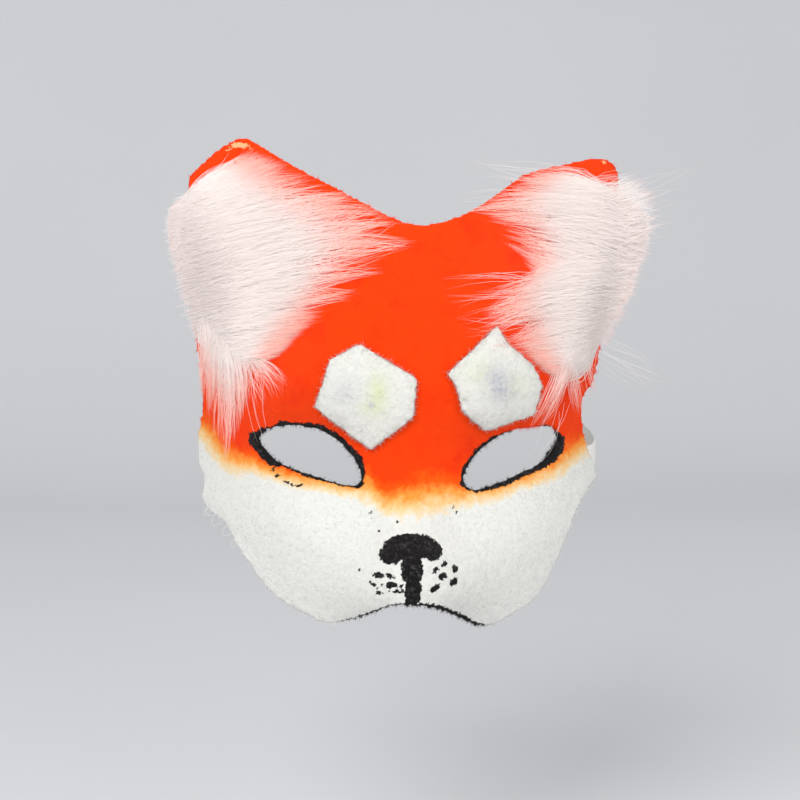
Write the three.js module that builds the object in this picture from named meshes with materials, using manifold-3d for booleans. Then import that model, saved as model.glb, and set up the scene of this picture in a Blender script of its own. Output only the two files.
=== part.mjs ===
// Fox mask: a felt-covered half mask with two ears, long pile in the ears, two felt brow patches
// and an elastic band round the head. Millimetres. The face looks along -Y, +X is the viewer's
// right and +Z is up. The origin is the inside of the nose bridge, where the mask rests on a face.

import * as THREE from 'three';
import Module from 'manifold-3d';
import { mergeVertices } from 'three/addons/utils/BufferGeometryUtils.js';

const wasm = await Module();
wasm.setup();

// Driving sizes
const FACE_HALF_WIDTH = 82;
const FACE_HEIGHT = 190;
const FACE_DEPTH = 80;
const WALL = 2.5;
const CLEARANCE = 0.3;

const EYE_LENGTH = 40;
const EYE_HEIGHT = 21;
const EYE_SPACING = 80;

const PATCH_SIZE = 40;
const PATCH_THICKNESS = 1.8;

const FUR_DEPTH = 13;
const FUR_HEM = 1.6;
const LOCK_WIDTH = 13;

const STRAP_WIDTH = 10;
const STRAP_THICKNESS = 1.2;
const STRAP_TAB = 9;
const STRAP_RISE = 14;
const HEAD_LENGTH = 185;

// Spacing of the facets, close on the face and wide on the forehead, ears and temples
const FINE_STEP = 4.4;
const COARSE_STEP = 7;

// Sections up the face. up is a share of FACE_HEIGHT. front is how far the centre line lies behind
// the brow and side how much further back the cheek edge lies, both shares of FACE_DEPTH. power
// bends the section: 2 is round, more is flat in front and steep at the side.
const SECTIONS = [
  { up: -0.40, front: 0.00, side: 0.62, power: 2.0 },
  { up: -0.30, front: -0.06, side: 0.62, power: 2.1 },
  { up: -0.16, front: -0.07, side: 0.62, power: 2.2 },
  { up: 0.00, front: -0.03, side: 0.62, power: 2.3 },
  { up: 0.14, front: -0.06, side: 0.60, power: 2.4 },
  { up: 0.30, front: -0.03, side: 0.54, power: 2.5 },
  { up: 0.48, front: 0.10, side: 0.42, power: 2.4 },
  { up: 0.60, front: 0.20, side: 0.34, power: 2.2 },
  { up: 0.78, front: 0.35, side: 0.26, power: 2.0 },
];

// Swells and dents on that form. across and width are shares of FACE_HALF_WIDTH, up and height of
// FACE_HEIGHT, rise of FACE_DEPTH. A pair lies the same on both sides.
const SWELLS = [
  { name: 'muzzle', across: 0.00, up: -0.220, width: 0.33, height: 0.100, rise: 0.25, pair: false },
  { name: 'nose tip', across: 0.00, up: -0.150, width: 0.15, height: 0.035, rise: 0.035, pair: false },
  { name: 'nose ridge', across: 0.00, up: -0.090, width: 0.16, height: 0.105, rise: 0.10, pair: false },
  { name: 'lip pad', across: 0.17, up: -0.215, width: 0.13, height: 0.045, rise: 0.03, pair: true },
  { name: 'eye socket', across: 0.47, up: 0.045, width: 0.27, height: 0.075, rise: -0.06, pair: true },
  { name: 'brow', across: 0.42, up: 0.170, width: 0.33, height: 0.080, rise: 0.035, pair: true },
  { name: 'cheek', across: 0.55, up: -0.120, width: 0.33, height: 0.110, rise: 0.06, pair: true },
  { name: 'ear bowl', across: 0.70, up: 0.500, width: 0.24, height: 0.150, rise: -0.10, pair: true },
];

// Two soft folds that the felt keeps on the left cheek. from and to are points on the face, width
// and depth are lengths across the fold as shares of FACE_HALF_WIDTH and FACE_DEPTH.
const FOLDS = [
  { from: { across: -0.83, up: -0.115 }, to: { across: -0.38, up: -0.185 }, width: 0.040, depth: 0.014 },
  { from: { across: -0.78, up: -0.150 }, to: { across: -0.52, up: -0.225 }, width: 0.040, depth: 0.012 },
];

// Edge of the mask, once round from the notch between the ears, clockwise as the viewer sees it.
// across is a share of FACE_HALF_WIDTH, up of FACE_HEIGHT. Each run is one smooth curve, and the
// runs meet in corners.
const EDGE_RUNS = {
  rightForehead: [
    { across: 0.06, up: 0.495 },
    { across: 0.20, up: 0.505 },
    { across: 0.33, up: 0.530 },
    { across: 0.46, up: 0.565 },
    { across: 0.61, up: 0.605 },
    { across: 0.77, up: 0.622 },
    { across: 0.96, up: 0.642 },
  ],
  rightEar: [
    { across: 0.98, up: 0.642 },
    { across: 1.06, up: 0.630 },
    { across: 1.095, up: 0.595 },
    { across: 1.09, up: 0.490 },
    { across: 1.04, up: 0.360 },
    { across: 0.995, up: 0.255 },
    { across: 0.965, up: 0.195 },
    { across: 0.935, up: 0.160 },
    { across: 0.885, up: 0.138 },
  ],
  rightCheek: [
    { across: 0.88, up: 0.130 },
    { across: 0.885, up: 0.085 },
    { across: 0.915, up: 0.035 },
    { across: 0.980, up: -0.020 },
    { across: 0.985, up: -0.045 },
    { across: 0.920, up: -0.070 },
    { across: 0.855, up: -0.100 },
    { across: 0.790, up: -0.155 },
    { across: 0.720, up: -0.210 },
    { across: 0.660, up: -0.255 },
    { across: 0.600, up: -0.278 },
    { across: 0.500, up: -0.297 },
    { across: 0.400, up: -0.310 },
    { across: 0.320, up: -0.306 },
    { across: 0.185, up: -0.268 },
    { across: 0.085, up: -0.244 },
    { across: -0.015, up: -0.237 },
    { across: -0.110, up: -0.244 },
    { across: -0.250, up: -0.282 },
    { across: -0.360, up: -0.300 },
    { across: -0.420, up: -0.298 },
    { across: -0.500, up: -0.283 },
    { across: -0.600, up: -0.265 },
    { across: -0.690, up: -0.230 },
    { across: -0.820, up: -0.155 },
    { across: -0.875, up: -0.122 },
    { across: -0.945, up: -0.105 },
    { across: -0.990, up: -0.080 },
    { across: -0.972, up: -0.038 },
  ],
  leftCheek: [
    { across: -0.972, up: -0.036 },
    { across: -1.000, up: -0.010 },
    { across: -1.005, up: 0.045 },
    { across: -0.972, up: 0.130 },
    { across: -0.985, up: 0.200 },
    { across: -1.015, up: 0.290 },
    { across: -1.038, up: 0.410 },
    { across: -1.042, up: 0.530 },
    { across: -1.035, up: 0.595 },
  ],
  leftEarTop: [
    { across: -1.020, up: 0.605 },
    { across: -0.900, up: 0.650 },
    { across: -0.790, up: 0.677 },
  ],
  leftForehead: [
    { across: -0.755, up: 0.678 },
    { across: -0.690, up: 0.662 },
    { across: -0.590, up: 0.634 },
    { across: -0.445, up: 0.598 },
    { across: -0.280, up: 0.560 },
    { across: -0.145, up: 0.528 },
    { across: -0.030, up: 0.504 },
  ],
};

// The two eye holes are cut by hand and differ a little. shift and lift place the middle of each,
// in shares of EYE_SPACING and EYE_HEIGHT. In the edges out runs from -1 at the nose to 1 at the
// temple, half EYE_LENGTH each way, and up from -1 to 1, half EYE_HEIGHT each way.
const EYES = {
  left: {
    side: -1, shift: 0.475, lift: 0.32,
    edge: [
      { out: 1.00, up: 0.41 },
      { out: 0.76, up: 0.83 },
      { out: 0.33, up: 1.00 },
      { out: -0.15, up: 0.93 },
      { out: -0.53, up: 0.57 },
      { out: -0.81, up: 0.04 },
      { out: -0.96, up: -0.50 },
      { out: -0.98, up: -0.98 },
      { out: -0.62, up: -0.99 },
      { out: -0.15, up: -0.76 },
      { out: 0.34, up: -0.52 },
      { out: 0.76, up: -0.17 },
    ],
  },
  right: {
    side: 1, shift: 0.520, lift: 0.23,
    edge: [
      { out: 1.00, up: 0.50 },
      { out: 0.90, up: 0.92 },
      { out: 0.54, up: 1.04 },
      { out: 0.02, up: 0.97 },
      { out: -0.34, up: 0.74 },
      { out: -0.65, up: 0.32 },
      { out: -0.88, up: -0.15 },
      { out: -1.00, up: -0.65 },
      { out: -0.95, up: -0.97 },
      { out: -0.74, up: -1.04 },
      { out: -0.35, up: -0.89 },
      { out: 0.13, up: -0.60 },
      { out: 0.68, up: -0.26 },
    ],
  },
};

// The brow patches are cut by hand too: across and up place the middle of each as shares of
// FACE_HALF_WIDTH and FACE_HEIGHT, and the corners run in half PATCH_SIZE each way.
const PATCHES = {
  left: {
    across: -0.19, up: 0.158,
    corners: [
      { across: -0.14, up: 0.96 },
      { across: -0.67, up: 0.67 },
      { across: -0.96, up: -0.19 },
      { across: 0.09, up: -1.03 },
      { across: 0.87, up: -0.38 },
      { across: 0.93, up: 0.32 },
    ],
  },
  right: {
    across: 0.40, up: 0.184,
    corners: [
      { across: 0.03, up: 1.03 },
      { across: -0.93, up: 0.16 },
      { across: -0.76, up: -0.10 },
      { across: -0.66, up: -0.52 },
      { across: -0.21, up: -0.93 },
      { across: 0.78, up: -0.66 },
      { across: 0.92, up: -0.13 },
      { across: 0.75, up: 0.26 },
      { across: 0.21, up: 0.72 },
    ],
  },
};

// The pile of each ear. hem is the edge of its backing on the ear, and middle the place and reach of
// the deepest pile. A lock runs from its root to its tip. Places are shares of FACE_HALF_WIDTH and
// FACE_HEIGHT, width is a share of LOCK_WIDTH, and lift and flare are how high the root and the tip
// stand off the felt, as shares of FUR_DEPTH.
const FURS = {
  left: {
    middle: { across: -0.72, up: 0.42, width: 0.36, height: 0.20 },
    hem: [
      { across: -1.03, up: 0.590 },
      { across: -0.78, up: 0.645 },
      { across: -0.50, up: 0.590 },
      { across: -0.28, up: 0.510 },
      { across: -0.36, up: 0.375 },
      { across: -0.52, up: 0.290 },
      { across: -0.72, up: 0.235 },
      { across: -0.93, up: 0.170 },
      { across: -0.98, up: 0.250 },
      { across: -1.02, up: 0.420 },
    ],
    locks: [
      { root: { across: -0.70, up: 0.60 }, tip: { across: -0.40, up: 0.595 }, width: 1.0, lift: 0.25, flare: 0.0 },
      { root: { across: -0.66, up: 0.55 }, tip: { across: -0.22, up: 0.540 }, width: 1.2, lift: 0.40, flare: 0.0 },
      { root: { across: -0.60, up: 0.50 }, tip: { across: -0.09, up: 0.480 }, width: 1.4, lift: 0.55, flare: 0.1 },
      { root: { across: -0.60, up: 0.44 }, tip: { across: -0.12, up: 0.420 }, width: 1.5, lift: 0.65, flare: 0.1 },
      { root: { across: -0.64, up: 0.38 }, tip: { across: -0.22, up: 0.350 }, width: 1.5, lift: 0.60, flare: 0.1 },
      { root: { across: -0.70, up: 0.33 }, tip: { across: -0.36, up: 0.285 }, width: 1.3, lift: 0.55, flare: 0.1 },
      { root: { across: -0.76, up: 0.28 }, tip: { across: -0.52, up: 0.210 }, width: 1.1, lift: 0.45, flare: 0.1 },
      { root: { across: -0.84, up: 0.25 }, tip: { across: -0.66, up: 0.145 }, width: 1.0, lift: 0.40, flare: 0.1 },
      { root: { across: -0.86, up: 0.26 }, tip: { across: -0.77, up: 0.055 }, width: 1.2, lift: 0.40, flare: 0.1 },
      { root: { across: -0.90, up: 0.27 }, tip: { across: -0.86, up: 0.010 }, width: 1.2, lift: 0.35, flare: 0.1 },
      { root: { across: -0.94, up: 0.28 }, tip: { across: -0.92, up: 0.080 }, width: 1.0, lift: 0.35, flare: 0.1 },
      { root: { across: -0.80, up: 0.36 }, tip: { across: -1.02, up: 0.290 }, width: 1.4, lift: 0.60, flare: 0.4 },
      { root: { across: -0.80, up: 0.45 }, tip: { across: -1.03, up: 0.400 }, width: 1.4, lift: 0.60, flare: 0.4 },
      { root: { across: -0.82, up: 0.53 }, tip: { across: -1.04, up: 0.520 }, width: 1.2, lift: 0.50, flare: 0.3 },
    ],
  },
  right: {
    middle: { across: 0.80, up: 0.41, width: 0.32, height: 0.20 },
    hem: [
      { across: 1.08, up: 0.580 },
      { across: 1.07, up: 0.460 },
      { across: 1.02, up: 0.340 },
      { across: 0.95, up: 0.225 },
      { across: 0.84, up: 0.180 },
      { across: 0.68, up: 0.230 },
      { across: 0.58, up: 0.310 },
      { across: 0.55, up: 0.400 },
      { across: 0.50, up: 0.490 },
      { across: 0.56, up: 0.560 },
      { across: 0.76, up: 0.605 },
    ],
    locks: [
      { root: { across: 0.76, up: 0.58 }, tip: { across: 0.50, up: 0.600 }, width: 1.0, lift: 0.25, flare: 0.0 },
      { root: { across: 0.76, up: 0.53 }, tip: { across: 0.34, up: 0.535 }, width: 1.2, lift: 0.40, flare: 0.0 },
      { root: { across: 0.76, up: 0.48 }, tip: { across: 0.40, up: 0.470 }, width: 1.3, lift: 0.55, flare: 0.1 },
      { root: { across: 0.78, up: 0.42 }, tip: { across: 0.44, up: 0.415 }, width: 1.3, lift: 0.60, flare: 0.1 },
      { root: { across: 0.78, up: 0.36 }, tip: { across: 0.22, up: 0.365 }, width: 1.2, lift: 0.60, flare: 0.1 },
      { root: { across: 0.78, up: 0.32 }, tip: { across: 0.40, up: 0.305 }, width: 1.3, lift: 0.55, flare: 0.1 },
      { root: { across: 0.80, up: 0.28 }, tip: { across: 0.60, up: 0.232 }, width: 1.1, lift: 0.50, flare: 0.1 },
      { root: { across: 0.84, up: 0.25 }, tip: { across: 0.66, up: 0.115 }, width: 0.9, lift: 0.40, flare: 0.1 },
      { root: { across: 0.90, up: 0.26 }, tip: { across: 0.84, up: 0.110 }, width: 0.9, lift: 0.40, flare: 0.1 },
      { root: { across: 0.92, up: 0.30 }, tip: { across: 1.12, up: 0.215 }, width: 1.1, lift: 0.50, flare: 0.6 },
      { root: { across: 0.88, up: 0.36 }, tip: { across: 1.16, up: 0.310 }, width: 1.4, lift: 0.60, flare: 0.8 },
      { root: { across: 0.88, up: 0.44 }, tip: { across: 1.18, up: 0.410 }, width: 1.4, lift: 0.60, flare: 0.9 },
      { root: { across: 0.90, up: 0.52 }, tip: { across: 1.18, up: 0.525 }, width: 1.3, lift: 0.50, flare: 0.8 },
    ],
  },
};

// Value at a place between the rows of a table, on a smooth curve through the rows
function between(rows, key, at, column) {
  const last = rows.length - 1;
  let i = rows.findIndex((row) => row[key] > at) - 1;
  if (i < 0) i = at < rows[0][key] ? 0 : last - 1;
  const slope = (k) => {
    const a = rows[Math.max(k - 1, 0)];
    const b = rows[Math.min(k + 1, last)];
    return (b[column] - a[column]) / (b[key] - a[key]);
  };
  const span = rows[i + 1][key] - rows[i][key];
  const t = THREE.MathUtils.clamp((at - rows[i][key]) / span, 0, 1);
  const t2 = t * t;
  const t3 = t2 * t;
  return (2 * t3 - 3 * t2 + 1) * rows[i][column] + (t3 - 2 * t2 + t) * span * slope(i)
    + (3 * t2 - 2 * t3) * rows[i + 1][column] + (t3 - t2) * span * slope(i + 1);
}

// Height of a swell at a place, as a share of FACE_DEPTH
function swellAt({ across, up, width, height, rise, pair }, a, u) {
  const bump = (middle) => rise * Math.exp(-(((a - middle) / width) ** 2) - (((u - up) / height) ** 2));
  return pair ? bump(across) + bump(-across) : bump(across);
}

// Depth of a fold at a place, as a share of FACE_DEPTH, fading out at both ends
function foldAt({ from, to, width, depth }, a, u) {
  const tall = FACE_HEIGHT / FACE_HALF_WIDTH;
  const run = new THREE.Vector2(to.across - from.across, (to.up - from.up) * tall);
  const here = new THREE.Vector2(a - from.across, (u - from.up) * tall);
  const along = here.dot(run) / run.lengthSq();
  const off = here.cross(run) / run.length();
  const fade = Math.exp(-((2 * along - 1) ** 4));
  return depth * fade * Math.exp(-((off / width) ** 2));
}

// How far behind the brow the outside of the felt lies, as a share of FACE_DEPTH
function depthShare(x, z) {
  const a = x / FACE_HALF_WIDTH;
  const u = z / FACE_HEIGHT;
  const row = (column) => between(SECTIONS, 'up', u, column);
  const section = row('front') + row('side') * Math.abs(a) ** row('power');
  const swells = SWELLS.reduce((sum, swell) => sum + swellAt(swell, a, u), 0);
  const folds = FOLDS.reduce((sum, fold) => sum + foldAt(fold, a, u), 0);
  return section - swells + folds;
}

const BRIDGE_SHARE = depthShare(0, 0);

function faceY(x, z) {
  return FACE_DEPTH * (depthShare(x, z) - BRIDGE_SHARE) - WALL;
}

// A point at a height above the outside of the felt, square to it
function onFace(x, z, out) {
  const step = 0.5;
  const slopeX = (faceY(x + step, z) - faceY(x - step, z)) / (2 * step);
  const slopeZ = (faceY(x, z + step) - faceY(x, z - step)) / (2 * step);
  const normal = new THREE.Vector3(slopeX, -1, slopeZ).normalize();
  return new THREE.Vector3(x, faceY(x, z), z).addScaledVector(normal, out);
}

function onFaceShare({ across, up }) {
  return new THREE.Vector2(across * FACE_HALF_WIDTH, up * FACE_HEIGHT);
}

// Closed geometry and solid, each made from the other
function solidOf(geometry) {
  const bare = new THREE.BufferGeometry();
  bare.setAttribute('position', geometry.getAttribute('position'));
  bare.setIndex(geometry.getIndex());
  const merged = mergeVertices(bare, 1e-4);
  return new wasm.Manifold(new wasm.Mesh({
    numProp: 3,
    vertProperties: new Float32Array(merged.getAttribute('position').array),
    triVerts: new Uint32Array(merged.getIndex().array),
  }));
}

function geometryOf(solid) {
  const mesh = solid.getMesh();
  const geometry = new THREE.BufferGeometry();
  geometry.setAttribute('position', new THREE.BufferAttribute(new Float32Array(mesh.vertProperties), 3));
  geometry.setIndex(new THREE.BufferAttribute(new Uint32Array(mesh.triVerts), 1));
  return geometry;
}

// Closed body through rings of points, each ring the same way round, with a flat end at each end
function loft(rings) {
  const count = rings[0].length;
  const points = rings.flat();
  const faces = [];
  for (let r = 0; r < rings.length - 1; r++) {
    for (let i = 0; i < count; i++) {
      const a = r * count + i;
      const b = r * count + (i + 1) % count;
      faces.push(a, b, b + count, a, b + count, a + count);
    }
  }
  const top = (rings.length - 1) * count;
  for (let i = 1; i < count - 1; i++) {
    faces.push(0, i + 1, i, top, top + i, top + i + 1);
  }
  const geometry = new THREE.BufferGeometry().setFromPoints(points);
  geometry.setIndex(faces);
  return geometry;
}

// Even steps from low to high, no longer than step
function steps(low, high, step) {
  const count = Math.max(2, Math.ceil((high - low) / step));
  return Array.from({ length: count + 1 }, (_, i) => low + (high - low) * i / count);
}

// One grid for every sheet on the face, so that facets of pieces that lie on each other agree. It is
// fine between the temples and below the brow.
const TEMPLE_X = 0.68 * FACE_HALF_WIDTH;
const SIDE_X = 1.16 * FACE_HALF_WIDTH;
const CHIN_Z = -0.34 * FACE_HEIGHT;
const BROW_Z = 0.13 * FACE_HEIGHT;
const CROWN_Z = 0.72 * FACE_HEIGHT;
const GRID_X = [
  ...steps(-SIDE_X, -TEMPLE_X, COARSE_STEP),
  ...steps(-TEMPLE_X, TEMPLE_X, FINE_STEP).slice(1),
  ...steps(TEMPLE_X, SIDE_X, COARSE_STEP).slice(1),
];
const GRID_Z = [...steps(CHIN_Z, BROW_Z, FINE_STEP), ...steps(BROW_Z, CROWN_Z, COARSE_STEP).slice(1)];

// A plate is cut with a slight crown, because a cut drops the grid points of a plane
const CROWN = 0.001;

function crown(x, z) {
  return CROWN * (x * x + z * z);
}

// Flat sheet before it is cut and formed: a plate in X and Z that faces the viewer and covers an
// outline, from low to high above the table, which is height -Y
function plate(outline, low, high) {
  const box = new THREE.Box2().setFromPoints(outline.getPoints());
  const cover = (grid, from, to) => grid.filter((value, i) => (
    (grid[i + 1] ?? value) > from && (grid[i - 1] ?? value) < to
  ));
  const xs = cover(GRID_X, box.min.x, box.max.x);
  const zs = cover(GRID_Z, box.min.y, box.max.y);
  const points = [];
  for (const y of [-high, -low]) {
    for (const z of zs) {
      for (const x of xs) points.push(new THREE.Vector3(x, y + crown(x, z), z));
    }
  }
  const side = xs.length * zs.length;
  const at = (layer, row, column) => layer * side + row * xs.length + column;
  const faces = [];
  const quad = (a, b, c, d) => faces.push(a, b, c, a, c, d);
  for (let r = 0; r < zs.length - 1; r++) {
    for (let c = 0; c < xs.length - 1; c++) {
      quad(at(0, r, c), at(0, r, c + 1), at(0, r + 1, c + 1), at(0, r + 1, c));
      quad(at(1, r, c), at(1, r + 1, c), at(1, r + 1, c + 1), at(1, r, c + 1));
    }
  }
  const lastRow = zs.length - 1;
  const lastColumn = xs.length - 1;
  for (let c = 0; c < lastColumn; c++) {
    quad(at(0, 0, c), at(1, 0, c), at(1, 0, c + 1), at(0, 0, c + 1));
    quad(at(0, lastRow, c), at(0, lastRow, c + 1), at(1, lastRow, c + 1), at(1, lastRow, c));
  }
  for (let r = 0; r < lastRow; r++) {
    quad(at(0, r, 0), at(0, r + 1, 0), at(1, r + 1, 0), at(1, r, 0));
    quad(at(0, r, lastColumn), at(1, r, lastColumn), at(1, r + 1, lastColumn), at(0, r + 1, lastColumn));
  }
  const geometry = new THREE.BufferGeometry().setFromPoints(points);
  geometry.setIndex(faces);
  return geometry;
}

// Cutter that goes right through any plate, from an outline in X and Z
function cutter(outline) {
  const reach = 2 * FACE_HEIGHT;
  const geometry = new THREE.ExtrudeGeometry(outline, { depth: 2 * reach, bevelEnabled: false, curveSegments: 2 });
  geometry.rotateX(Math.PI / 2);
  geometry.translate(0, reach, 0);
  return solidOf(geometry);
}

function cutPlate(outline, low, high) {
  return solidOf(plate(outline, low, high)).intersect(cutter(outline));
}

function closedCurve(points) {
  const outline = new THREE.Shape();
  outline.moveTo(points[0].x, points[0].y);
  outline.splineThru([...points.slice(1), points[0]]);
  return outline;
}

function polygon(points) {
  return new THREE.Shape(points);
}

// Formed sheet: a flat plate cut to its outline, then laid on the face. rise gives the height of
// each of its points above the outside of the felt.
function formed(flat, rise) {
  const geometry = geometryOf(flat);
  const position = geometry.getAttribute('position');
  for (let i = 0; i < position.count; i++) {
    const x = position.getX(i);
    const z = position.getZ(i);
    const point = onFace(x, z, rise(crown(x, z) - position.getY(i), x, z));
    position.setXYZ(i, point.x, point.y, point.z);
  }
  return geometry;
}

function piece(name, geometry, color, roughness) {
  geometry.computeVertexNormals();
  const mesh = new THREE.Mesh(geometry, new THREE.MeshStandardMaterial({ color, roughness, metalness: 0 }));
  mesh.name = name;
  return mesh;
}

// Face shell: one wall from the ear tips to the lip, with both eye holes
function faceEdge() {
  const outline = new THREE.Shape();
  const runs = Object.values(EDGE_RUNS).map((run) => run.map(onFaceShare));
  outline.moveTo(runs[0][0].x, runs[0][0].y);
  runs.forEach((run, i) => {
    if (i > 0) outline.lineTo(run[0].x, run[0].y);
    outline.splineThru(run.slice(1));
  });
  return outline;
}

function eyeMiddle({ side, shift, lift }) {
  return new THREE.Vector2(side * shift * EYE_SPACING, lift * EYE_HEIGHT);
}

function eyeEdge(eye) {
  const middle = eyeMiddle(eye);
  return closedCurve(eye.edge.map(({ out, up }) => new THREE.Vector2(
    middle.x + eye.side * out * EYE_LENGTH / 2,
    middle.y + up * EYE_HEIGHT / 2,
  )));
}

function faceShell() {
  let flat = cutPlate(faceEdge(), -WALL, 0);
  for (const eye of Object.values(EYES)) flat = flat.subtract(cutter(eyeEdge(eye)));
  return piece('face_shell', formed(flat, (height) => height), 0xff4400, 0.95);
}

// Brow patches: flat felt glued on the forehead
function browPatch(side) {
  const { across, up, corners } = PATCHES[side];
  const middle = onFaceShare({ across, up });
  const half = PATCH_SIZE / 2;
  const outline = polygon(corners.map((corner) => new THREE.Vector2(
    middle.x + corner.across * half,
    middle.y + corner.up * half,
  )));
  const flat = cutPlate(outline, 0, PATCH_THICKNESS);
  return piece(`brow_patch_${side}`, formed(flat, (height) => CLEARANCE + height), 0xf4f6f0, 0.95);
}

// Ear fur: a backing that swells to its middle, and locks that grow out of it and stay high enough
// to pass over a brow patch
const OVER_PATCH = PATCH_THICKNESS + 2 * CLEARANCE;
const LOCK_SIDES = 6;
const LOCK_STATIONS = 5;
const LOCK_TIP = 0.02;
const LOCK_TIP_DEPTH = 1;
const LOCK_FULLNESS = 0.6;

function furBacking({ middle, hem }) {
  const flat = cutPlate(closedCurve(hem.map(onFaceShare)), 0, 1);
  const centre = onFaceShare(middle);
  const swell = (x, z) => {
    const a = (x - centre.x) / (middle.width * FACE_HALF_WIDTH);
    const u = (z - centre.y) / (middle.height * FACE_HEIGHT);
    return FUR_HEM + (FUR_DEPTH - FUR_HEM) * Math.exp(-((a * a + u * u) ** 1.5));
  };
  return solidOf(formed(flat, (height, x, z) => CLEARANCE + height * swell(x, z)));
}

// A lock tapers from its root to a blunt tip, and arches between them
function furLock({ root, tip, width, lift, flare }) {
  const start = onFaceShare(root);
  const run = onFaceShare(tip).sub(start);
  const across = new THREE.Vector2(-run.y, run.x).normalize();
  const rings = steps(0, 1, 1 / LOCK_STATIONS).map((t) => {
    const taper = Math.sqrt(1 - (1 - LOCK_TIP) * t * t);
    const halfWidth = width * LOCK_WIDTH * taper / 2;
    const halfDepth = lift * LOCK_FULLNESS * FUR_DEPTH * taper / 2 + LOCK_TIP_DEPTH / 2;
    const arch = lift * (1 - t) * (1 + t) / 2;
    const high = OVER_PATCH + halfDepth + FUR_DEPTH * (arch + flare * t * t);
    const middle = start.clone().addScaledVector(run, t);
    return Array.from({ length: LOCK_SIDES }, (_, i) => {
      const angle = 2 * Math.PI * i / LOCK_SIDES;
      const place = middle.clone().addScaledVector(across, halfWidth * Math.cos(angle));
      return onFace(place.x, place.y, high + halfDepth * Math.sin(angle));
    });
  });
  return solidOf(loft(rings));
}

function earFur(side) {
  const fur = FURS[side];
  const solid = fur.locks.reduce((sum, lock) => sum.add(furLock(lock)), furBacking(fur));
  return piece(`ear_fur_${side}`, geometryOf(solid), 0xf6f1ef, 0.9);
}

// Head strap: a flat band glued inside both cheeks at the height of the eyes. It runs round the
// head, a little higher at the back. In the route across is a share of FACE_HALF_WIDTH, back of
// HEAD_LENGTH and rise of STRAP_RISE.
const STRAP_RIM = 0.95;
const STRAP_ROUTE = [
  { across: 0.995, back: 0.32, rise: 0.10 },
  { across: 1.000, back: 0.45, rise: 0.30 },
  { across: 0.930, back: 0.66, rise: 0.60 },
  { across: 0.700, back: 0.85, rise: 0.85 },
  { across: 0.370, back: 0.97, rise: 0.97 },
  { across: 0.000, back: 1.00, rise: 1.00 },
];
const TAB_STATIONS = 4;
const LOOP_STATIONS = 18;

// The four corners of the band where it lies behind the wall, at a distance from the centre line
function tabRing(x) {
  const corner = (z, depth) => onFace(x, z, -(WALL + CLEARANCE + depth));
  const low = -STRAP_WIDTH / 2;
  const high = STRAP_WIDTH / 2;
  return [corner(low, 0), corner(low, STRAP_THICKNESS), corner(high, STRAP_THICKNESS), corner(high, 0)];
}

// The four corners of the band on its way round the head
function loopRing(route, t) {
  const point = route.getPointAt(t);
  const tangent = t === 1 ? new THREE.Vector3(-1, 0, 0) : route.getTangentAt(t);
  const outward = new THREE.Vector3(tangent.y, -tangent.x, 0).normalize();
  const corner = (side, end) => {
    const place = point.clone().addScaledVector(outward, side * STRAP_THICKNESS / 2);
    return place.setZ(point.z + end * STRAP_WIDTH / 2);
  };
  return [corner(1, -1), corner(-1, -1), corner(-1, 1), corner(1, 1)];
}

function headStrap() {
  const rimX = STRAP_RIM * FACE_HALF_WIDTH;
  const tab = steps(rimX - STRAP_TAB, rimX, STRAP_TAB / TAB_STATIONS).map(tabRing);
  const rim = onFace(rimX, 0, -(WALL + CLEARANCE + STRAP_THICKNESS / 2));
  const route = new THREE.CatmullRomCurve3([
    rim,
    ...STRAP_ROUTE.map(({ across, back, rise }) => new THREE.Vector3(
      across * FACE_HALF_WIDTH,
      back * HEAD_LENGTH,
      rise * STRAP_RISE,
    )),
  ]);
  const loop = steps(0, 1, 1 / LOOP_STATIONS).slice(1).map((t) => loopRing(route, t));
  const rightHalf = [...tab, ...loop];
  const mirrored = (ring) => ring.map(({ x, y, z }) => new THREE.Vector3(-x, y, z));
  const leftHalf = rightHalf.slice(0, -1).reverse().map(mirrored);
  return piece('head_strap', loft([...rightHalf, ...leftHalf]), 0xf2f2ee, 0.8);
}

const mask = new THREE.Group();
mask.name = 'fox_mask';
mask.add(faceShell());
for (const side of ['left', 'right']) {
  mask.add(earFur(side));
  mask.add(browPatch(side));
}
mask.add(headStrap());

export default mask;
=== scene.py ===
import math

import bmesh
import bpy
import numpy as np
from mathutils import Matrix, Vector, noise
from mathutils.bvhtree import BVHTree
from mathutils.kdtree import KDTree


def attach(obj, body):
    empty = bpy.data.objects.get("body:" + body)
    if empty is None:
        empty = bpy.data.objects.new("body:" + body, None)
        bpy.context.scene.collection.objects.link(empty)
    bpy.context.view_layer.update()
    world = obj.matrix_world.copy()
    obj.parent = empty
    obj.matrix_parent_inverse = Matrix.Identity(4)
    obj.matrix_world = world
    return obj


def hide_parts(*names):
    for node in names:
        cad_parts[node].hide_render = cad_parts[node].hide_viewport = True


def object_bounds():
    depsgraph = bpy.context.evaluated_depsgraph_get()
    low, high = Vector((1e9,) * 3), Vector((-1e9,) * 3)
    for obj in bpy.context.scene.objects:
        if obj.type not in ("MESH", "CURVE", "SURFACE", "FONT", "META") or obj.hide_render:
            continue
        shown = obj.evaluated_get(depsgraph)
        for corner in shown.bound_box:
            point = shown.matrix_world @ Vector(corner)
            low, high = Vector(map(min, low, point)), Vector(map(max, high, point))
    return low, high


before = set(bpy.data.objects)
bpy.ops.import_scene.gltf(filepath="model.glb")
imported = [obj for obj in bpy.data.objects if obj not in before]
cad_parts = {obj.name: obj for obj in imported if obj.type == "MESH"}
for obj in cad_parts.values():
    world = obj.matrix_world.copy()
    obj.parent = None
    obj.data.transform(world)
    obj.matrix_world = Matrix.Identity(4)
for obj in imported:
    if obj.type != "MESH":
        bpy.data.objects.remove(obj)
cad_low, cad_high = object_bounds()

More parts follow.
